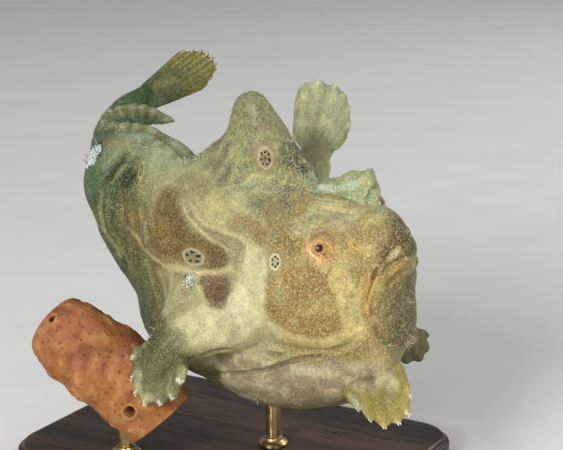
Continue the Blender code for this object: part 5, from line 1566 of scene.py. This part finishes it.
def lid_flesh():
    """Thin wet flesh: its painted tone under a soft gloss, with a very fine grain."""
    material, tree, shader = new_material("wet_flesh", Roughness=0.4, Coat_Weight=0.5, Coat_Roughness=0.12,
                                          Subsurface_Weight=0.25, Subsurface_Radius=(1.0, 0.5, 0.25),
                                          Subsurface_Scale=0.0008)
    grain = noise(tree, object_place(tree), 3800.0, 2.0)
    shade = between(tree, grain, 0.35, 0.7, 0.0, 0.4)
    colour = blended(tree, shade, kept(tree, "tone"), FLESH_SHADE, "MULTIPLY")
    tree.links.new(colour, shader.inputs["Base Color"])
    bump_into(tree, shader, grain, 0.00005, 0.6)
    return material


wet_flesh = lid_flesh()
make_lid_rim("lid_rim_right", 1)
make_lid_rim("lid_rim_left", -1)

# Nostrils. Two short soft tubes of yellow skin on each side in front of the eye, open at their
# tips. Each is cast on its own and set on the skin.
NOSTRILS = [((33.6, -11.5, 9.3), 0.62, 0.55), ((34.0, -12.1, 8.0), 0.42, 0.3)]    # place, radius, height
NOSTRIL_PROFILE = [
    (-0.8, 1.5), (-0.1, 1.25), (0.45, 1.0), (0.85, 0.86), (1.0, 0.68), (0.9, 0.48), (0.4, 0.36), (-0.2, 0.3),
    (-0.7, 0.12),
]
NOSTRIL_YELLOW = (0.66, 0.47, 0.13)
NOSTRIL_INSIDE_SHADE = (0.17, 0.05, 0.02)
NOSTRIL_SIDES = 40


def on_skin(place):
    """The nearest point of the skin to a place, and the way the skin faces there."""
    spot, normal, _, _ = skin_tree.find_nearest(Vector(place))
    return np.array(spot), np.array(normal)


def make_nostril(name, place, radius, height):
    """A little crater: its profile of heights and radii, turned about the skin's normal."""
    spot, normal = on_skin(place)
    side = unit(np.cross(normal, (0.1, 0.2, 1.0)))
    up = np.cross(normal, side)
    angle = np.linspace(0, 2 * np.pi, NOSTRIL_SIDES, endpoint=False)[:, None]
    level, width = np.array(NOSTRIL_PROFILE).T
    rings = (spot + (level * height)[:, None, None] * normal
             + (width * radius)[:, None, None] * (np.cos(angle) * side + np.sin(angle) * up))
    points, faces = closed_shell(rings)
    nostril = add_piece(name, placed(points), faces)
    # Painted shade: the inside of the tube, down from its rim, is dark.
    inside = step(0.6, 0.4, width) * (np.arange(len(level)) > 3)
    inside = np.append(np.repeat(inside, NOSTRIL_SIDES), [0, 1])
    tone = painted(np.broadcast_to(NOSTRIL_YELLOW, points.shape), (NOSTRIL_INSIDE_SHADE, inside))
    write_tone(nostril.data, "tone", tone * (1 + 0.2 * lattice_noise(points, 0.4, 45))[:, None])
    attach(nostril, "root")
    nostril.data.materials.append(wet_flesh)


for side_name, side in (("right", 1), ("left", -1)):
    for number, (place, radius, height) in enumerate(NOSTRILS):
        make_nostril(f"nostril_{side_name}_{number + 1}", np.array(place) * (1, side, 1), radius, height)

# Fishing rod. The first spine of the back, a thin flexible rod with a fleshy lure, laid back
# along the left side of the second spine, as the fish keeps it at rest.
ILLICIUM = [(35.6, 2.2, 14, 0.7), (33.2, 4.1, 17.2, 0.6), (29.5, 4.6, 19.3, 0.55), (25.5, 4.6, 20.2, 0.5),
            (22.8, 4.5, 20.5, 0.45)]
ESCA_PLACE, ESCA_SIZE = (21.6, 4.5, 20.7), (1.5, 0.7, 0.7)
ROD_PALE = (0.55, 0.50, 0.33)
ROD_BAND = (0.24, 0.18, 0.10)
ESCA_PINK = (0.70, 0.55, 0.44)
ESCA_THREADS, ESCA_THREAD_LENGTH, ESCA_THREAD_RADIUS = 16, 1.1, 0.13


def growths(root, way, bend, height, radius, rows, widths):
    """Many slender four-sided solids at once. A centre line is the root plus the height times way t
    plus bend t squared; each ring's half-width is the radius times its share, and the line's end
    closes it. Returns points, faces and each point's number of its growth and share of height."""
    count = len(root)
    t = np.linspace(0, 1, rows + 1)
    curve = way[:, None] * t[:, None] + bend[:, None] * t[:, None] ** 2
    line = root[:, None] + height[:, None, None] * curve
    side = unit(np.cross(way, (0.31, 0.47, 0.83)))
    up = np.cross(way, side)
    ring = np.stack([side, up, -side, -up], 1)
    half = radius[:, None] * np.array(widths)
    rings = line[:, :-1, None] + ring[:, None] * half[..., None, None]
    points = np.concatenate([rings.reshape(count, rows * 4, 3), line[:, -1:]], 1)
    each = rows * 4 + 1
    quads = [[3, 2, 1, 0]] + ring_faces(rows, 4).tolist()
    last = 4 * (rows - 1)
    tips = [[last + k, last + (k + 1) % 4, each - 1] for k in range(4)]
    starts = (np.arange(count) * each)[:, None, None]
    quads, tips = ((np.array(kind) + starts).reshape(-1, len(kind[0])).tolist() for kind in (quads, tips))
    shares = np.tile(np.append(np.repeat(t[:-1], 4), 1.0), count)
    return points.reshape(-1, 3), quads + tips, np.repeat(np.arange(count), each), shares


def make_illicium():
    """The rod tapers along its path, and the lure is a small ellipsoid with short filaments."""
    rod = closed_shell(tube_rings(smooth_path(ILLICIUM, 60), 20, 4))
    lure = closed_shell(ellipsoid_rings(ESCA_PLACE, ESCA_SIZE, 0, 12))
    random = np.random.default_rng(51)
    ways = unit(random.normal(size=(ESCA_THREADS, 3)) * (0.8, 0.7, 0.7) + (-0.9, 0, 0))
    root = np.array(ESCA_PLACE) + ways * np.array(ESCA_SIZE) * 0.8
    bends = random.normal(size=(ESCA_THREADS, 3)) * 0.3
    threads = growths(root, ways, bends, np.full(ESCA_THREADS, ESCA_THREAD_LENGTH),
                      np.full(ESCA_THREADS, ESCA_THREAD_RADIUS), 5, [1, 0.9, 0.75, 0.6, 0.4])
    points, faces = combined([rod, lure, threads[:2]])
    rod_piece = add_piece("fishing_rod", placed(points), faces)
    band = step(0.1, 0.6, np.sin(points[:, 0] * 3.2))
    tone = painted(np.broadcast_to(ROD_PALE, points.shape), (ROD_BAND, 0.6 * band),
                   (ESCA_PINK, 1 - step(22.4, 23.6, points[:, 0])))
    write_tone(rod_piece.data, "tone", tone * (1 + 0.15 * lattice_noise(points, 0.5, 52))[:, None])
    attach(rod_piece, "root")
    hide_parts("illicium")
    rod_piece.data.materials.append(wet_flesh)


make_illicium()

# Spinules and filaments. The skin bristles with tiny two-pointed spines, and thin threads of skin
# grow along the edges of the spines, the jaw and the tail. Cast one by one and set in the skin.
SPINULES = 15000
SPINULE_HEIGHTS, SPINULE_RADII = (0.22, 0.5), (0.055, 0.10)
THREAD_RADII = (0.07, 0.12)
RAY_TIP_LENGTH, RAY_TIP_RADIUS = 0.8, 0.24
SPINULE_PALE = (0.74, 0.74, 0.56)
THREAD_PALE = (0.66, 0.66, 0.50)
THREAD_RUST = (0.42, 0.15, 0.06)
PATCH = 0.003                   # how wide one growth is on the bake map
# Places with threads: centre, spread, how many, longest, rust-coloured share
THREADS = [
    ((-19, -5, 24.5), 2.6, 26, 1.9, 0.0), ((-15.5, -4.5, 26), 2.2, 18, 1.6, 0.0),
    ((-12.5, -4, 28), 1.8, 12, 1.2, 0.0), ((-47, -7, 4), 3.0, 12, 2.8, 0.0),
    ((-50.5, -4, 20), 2.5, 16, 3.0, 0.0), ((-53, -1, 24), 3.0, 10, 2.2, 0.0),
    ((-52.5, -4, 21), 1.5, 14, 3.6, 0.0), ((-36, -12, 9), 3.5, 8, 1.2, 0.0),
    ((-44, -8.5, -2), 3.0, 8, 2.0, 0.0), ((42, -1, -14), 2.8, 12, 2.2, 0.4),
    ((43.5, 0.5, -6), 2.6, 9, 2.4, 0.5), ((41, 3, -17), 2.5, 9, 2.2, 0.3), ((38, -8, -16), 3.0, 12, 1.6, 0.1),
    ((30, -13, -18), 3.5, 12, 1.3, 0.0), ((44, 0, 12), 1.6, 7, 1.6, 0.3),
    ((32.5, 0, 25.5), 1.3, 14, 1.6, 0.0), ((29, 0, 25), 1.8, 12, 1.1, 0.0),
    ((22, -0.5, 22.5), 2.5, 12, 1.0, 0.0), ((15, -1.5, 23.5), 2.2, 16, 1.6, 0.0),
    ((11, -1.5, 29), 2.2, 10, 1.3, 0.0), ((1, 0, 44), 2.8, 12, 0.9, 0.0), ((38, -3, 15.5), 1.8, 10, 1.4, 0.0),
    ((36, -5, 14.8), 1.4, 8, 1.0, 0.0), ((-14, -30, -17), 3.0, 14, 1.6, 0.0),
    ((8, -12, -34.5), 3.5, 12, 0.8, 0.0), ((20, -11.5, -33), 3.5, 12, 0.8, 0.0),
    ((34, -9, -23), 3.0, 10, 1.0, 0.0), ((-3, 38, 36), 3.0, 10, 0.9, 0.0), ((44, -14, -30), 3.0, 9, 0.8, 0.0),
    ((-57, 20, 32), 3.5, 10, 1.4, 0.0), ((-40, 38, 44), 3.0, 10, 1.2, 0.0),
    ((-36.5, -12, 10.5), 1.8, 16, 0.9, 0.0), ((-23.5, -15, 8.5), 1.0, 14, 0.8, 0.0),
    ((-24, -14, -8), 1.2, 10, 0.8, 0.0), ((-27, -13.5, -3), 1.2, 8, 0.8, 0.0),
    ((12, -4, 26), 2.0, 14, 0.7, 0.0), ((20, -7, 17.5), 2.5, 16, 0.7, 0.0),
    ((27, -6, 17.2), 2.5, 16, 0.6, 0.0), ((-45, 3, 29), 3.5, 14, 1.2, 0.0), ((36, 8, -20), 2.5, 8, 1.2, 0.2),
]


def bake_map(piece, roots, shares):
    """The growths' bake map: each is a small patch at its root's place on an unwrap of the skin,
    with the angle round the body across it and the place along the body up it."""
    across = np.arctan2(roots[:, 2] + 4, roots[:, 1]) / (2 * np.pi) + 0.5
    up = (roots[:, 0] + 64) / 118
    corner = np.tile([[0, 0], [1, 0], [1, 1], [0, 1]], (len(roots) // 4 + 1, 1))[:len(roots), 0]
    patch = PATCH * np.stack([corner, shares], 1)
    places = np.clip(np.stack([across, up], 1) * 0.99 + 0.003, 0, 0.996) + patch
    corners = np.empty(len(piece.data.loops), int)
    piece.data.loops.foreach_get("vertex_index", corners)
    piece.data.uv_layers.new(name="OFBake").data.foreach_set("uv", places[corners].ravel())


def add_growths(name, grown, tone):
    """Growths as a piece of the fish, with their tones and bake map."""
    points, faces, number, shares = grown[0]
    piece = add_piece(name, placed(points), faces)
    write_tone(piece.data, "tone", tone)
    bake_map(piece, grown[1][number], shares)
    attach(piece, "root")
    piece.data.materials.append(wet_flesh)


def make_spinules():
    """Spinules on random places of the skin, more on the head, spines and back edges. Each is a
    pyramid that leans a little and takes the tone of the skin below, paler at the tip, partly as
    its own pale tip and partly as a painted highlight."""
    random = np.random.default_rng(61)
    a, b, c = (skin_points[skin_faces[:, k]] for k in range(3))
    cross = np.cross(b - a, c - a)
    area = np.linalg.norm(cross, axis=1)
    middle = (a + b + c) / 3
    x, _, z = middle.T
    liking = (0.45 + 0.8 * step(14, 22, x) * step(6, 14, z) + 1.2 * step(20, 30, z)
              + 0.5 * step(-4, 4, -np.abs(x - 30)))
    opening = np.minimum(*[np.linalg.norm(middle - eye_axes(side)[0], axis=1) for side in (1, -1)])
    liking = liking * step(4.3, 5.0, opening)
    chosen = random.choice(len(area), SPINULES, p=area * liking / (area * liking).sum())
    first, second = random.random((2, SPINULES, 1))
    over = first + second > 1
    first, second = np.where(over, 1 - first, first), np.where(over, 1 - second, second)
    root = a[chosen] + first * (b - a)[chosen] + second * (c - a)[chosen]
    normal = unit(cross[chosen])
    way = unit(normal + 0.35 * random.normal(size=root.shape))
    height = random.uniform(*SPINULE_HEIGHTS, SPINULES) * (0.7 + 0.6 * step(18, 30, root[:, 2]))
    radius = random.uniform(*SPINULE_RADII, SPINULES)
    grown = growths(root - 0.08 * normal, way, np.zeros_like(root), height, radius, 1, [1.0])
    under = skin_tone[skin_faces[chosen, 0]]
    pale = random.random(SPINULES) < 0.13
    number, shares = grown[2], grown[3]
    # Paler towards the tip: partly the spinules' own pale tips, partly painted highlights.
    tone = under[number] * (1 + 0.3 * shares)[:, None]
    tone = painted(tone, (SPINULE_PALE, 0.2 * shares + 0.65 * shares * pale[number]))
    add_growths("skin_spinules", (grown, root), tone)


def make_threads():
    """Threads of skin at their places: tapering and bent at random, a few of them rust-coloured."""
    random = np.random.default_rng(62)
    roots, ways, bends, heights, radii, rust = [], [], [], [], [], []
    for centre, spread, count, longest, rusty in THREADS:
        for place in np.array(centre) + spread * random.uniform(-1, 1, (count, 3)):
            spot, normal = on_skin(place)
            roots.append(spot - 0.15 * normal)
            ways.append(unit(normal + 0.5 * random.normal(size=3)))
            bends.append(0.45 * random.normal(size=3))
            heights.append(longest * random.uniform(0.35, 1.0))
            radii.append(random.uniform(*THREAD_RADII))
            rust.append(random.random() < rusty)
    roots = np.array(roots)
    grown = growths(roots, np.array(ways), np.array(bends), np.array(heights), np.array(radii), 7,
                    [1.3, 1.0, 0.8, 0.7, 0.6, 0.55, 0.4])
    points, _, number, shares = grown
    tone = painted(np.broadcast_to(THREAD_PALE, points.shape), (THREAD_RUST, np.array(rust, float)[number]))
    tone = tone * (0.75 + 0.4 * shares)[:, None] * (1 + 0.25 * random.random(len(roots))[number])[:, None]
    add_growths("skin_threads", (grown, roots), tone)


def make_ray_tips():
    """Small white bulbs where the rays end on the hands and feet, two at each ray."""
    roots, ways = [], []
    for shape in list(FINS.values())[4:]:
        sheet = fin_sheet(**shape)[0]
        for ray in range(shape["rays"]):
            column = int((ray + 0.5) * COLUMNS_PER_RAY)
            end, before = sheet[column, -1], sheet[column, -6]
            spot, _ = on_skin(end)
            for shift in (-0.35, 0.4):
                aside = unit(sheet[column + 1, -1] - sheet[column - 1, -1]) * shift
                roots.append(on_skin(spot + aside)[0] - 0.3 * unit(end - before))
                ways.append(unit(end - before))
    roots, count = np.array(roots), len(roots)
    grown = growths(roots, np.array(ways), np.zeros((count, 3)), np.full(count, RAY_TIP_LENGTH),
                    np.full(count, RAY_TIP_RADIUS), 5, [0.6, 0.9, 1.05, 0.95, 0.6])
    tone = painted(np.broadcast_to(CREAM, grown[0].shape), (TIP_WHITE, step(0.2, 0.6, grown[3])))
    add_growths("ray_tips", (grown, roots), tone)


make_spinules()
make_threads()
make_ray_tips()

# Crusts. Two small lacy growths of pale grains on the skin, at the tail and behind the flank's
# eyespot: single grains of tinted plaster pressed into the skin.
CRUSTS = [((-49, -5.4, 22), 2.7, 300), ((-8.5, -20, -3.3), 1.5, 70)]     # centre, spread, grains
CRUST_PALE = (0.72, 0.78, 0.76)
CRUST_DARK = (0.16, 0.18, 0.15)
GRAIN_HEIGHTS, GRAIN_RADII = (0.4, 0.95), (0.16, 0.3)


def make_crusts():
    """Grains round each centre: blunt four-sided growths, pale with a few dark ones among them."""
    random = np.random.default_rng(71)
    roots, ways = [], []
    for centre, spread, count in CRUSTS:
        for place in np.array(centre) + spread * random.uniform(-1, 1, (count, 3)):
            spot, normal = on_skin(place)
            roots.append(spot - 0.12 * normal)
            ways.append(unit(normal + 0.3 * random.normal(size=3)))
    roots, count = np.array(roots), len(roots)
    grown = growths(roots, np.array(ways), np.zeros((count, 3)), random.uniform(*GRAIN_HEIGHTS, count),
                    random.uniform(*GRAIN_RADII, count), 4, [1.0, 1.1, 0.95, 0.6])
    dark = random.random(count) < 0.16
    tone = painted(np.broadcast_to(CRUST_PALE, grown[0].shape), (CRUST_DARK, dark[grown[2]].astype(float)))
    add_growths("pale_crusts", (grown, roots), tone * (0.85 + 0.3 * random.random(count)[grown[2]])[:, None])


make_crusts()
write_points(skin.data, placed(skin_points))

# Room. A plain floor of pale paper and three soft studio lamps, with the camera at the
# photograph's angle. The floor is staging and no part of the model.
CAMERA_PLACE = Vector((0.2061, -0.3317, 0.1621))
CAMERA_AIM = Vector((0.0120, 0.0044, 0.0653))
CAMERA_LENS = 98.4
CAMERA_SENSOR = 36.0
PAPER, PAPER_LIGHT = (0.86, 0.86, 0.845, 1), (0.885, 0.885, 0.87, 1)
ROOM_WHITE = (0.94, 0.94, 0.93, 1)
FLOOR_REACH = 7.0               # half the floor's length, in metres
# Lamps: place, width, power
LAMPS = {
    "key": ((-0.02, -1.1, 0.56), 0.35, 11.8),
    "fill": ((0.95, -0.6, 0.12), 0.6, 4.0),
    "back": ((0.55, 1.0, 0.8), 0.6, 6.0),
}
LAMP_AIM = Vector((0.0, 0.0, 0.06))
ROOM_LIGHT = 0.28


def make_floor():
    """A wide flat sheet of pale paper, with a very faint unevenness of its tone."""
    corners = FLOOR_REACH * np.array([(-1, -1, 0), (1, -1, 0), (1, 1, 0), (-1, 1, 0)])
    floor = add_piece("floor", corners, [[0, 1, 2, 3]])
    material, tree, shader = new_material("floor_paper", Roughness=0.9, Specular_IOR_Level=0.05)
    clouds = between(tree, noise(tree, object_place(tree), 30.0, 3.0), 0.3, 0.7)
    tree.links.new(blended(tree, clouds, PAPER, PAPER_LIGHT), shader.inputs["Base Color"])
    floor.data.materials.append(material)


def facing(thing, place, aim):
    """Put a lamp or the camera at its place and turn it to its aim."""
    thing.location = place
    thing.rotation_mode = "QUATERNION"
    thing.rotation_quaternion = (aim - Vector(place)).to_track_quat("-Z", "Y")
    bpy.context.scene.collection.objects.link(thing)


make_floor()
camera = bpy.data.objects.new("camera", bpy.data.cameras.new("camera"))
facing(camera, CAMERA_PLACE, CAMERA_AIM)
camera.data.lens = CAMERA_LENS
camera.data.sensor_width = CAMERA_SENSOR
bpy.context.scene.camera = camera
for lamp_name, (lamp_place, width, power) in LAMPS.items():
    lamp = bpy.data.objects.new(lamp_name, bpy.data.lights.new(lamp_name, "AREA"))
    lamp.data.size = width
    lamp.data.energy = power
    facing(lamp, lamp_place, LAMP_AIM)

world = bpy.data.worlds.new("studio")
bpy.context.scene.world = world
world.use_nodes = True
background = world.node_tree.nodes["Background"]
background.inputs["Color"].default_value = ROOM_WHITE
background.inputs["Strength"].default_value = ROOM_LIGHT
bpy.context.scene.view_settings.view_transform = "Standard"
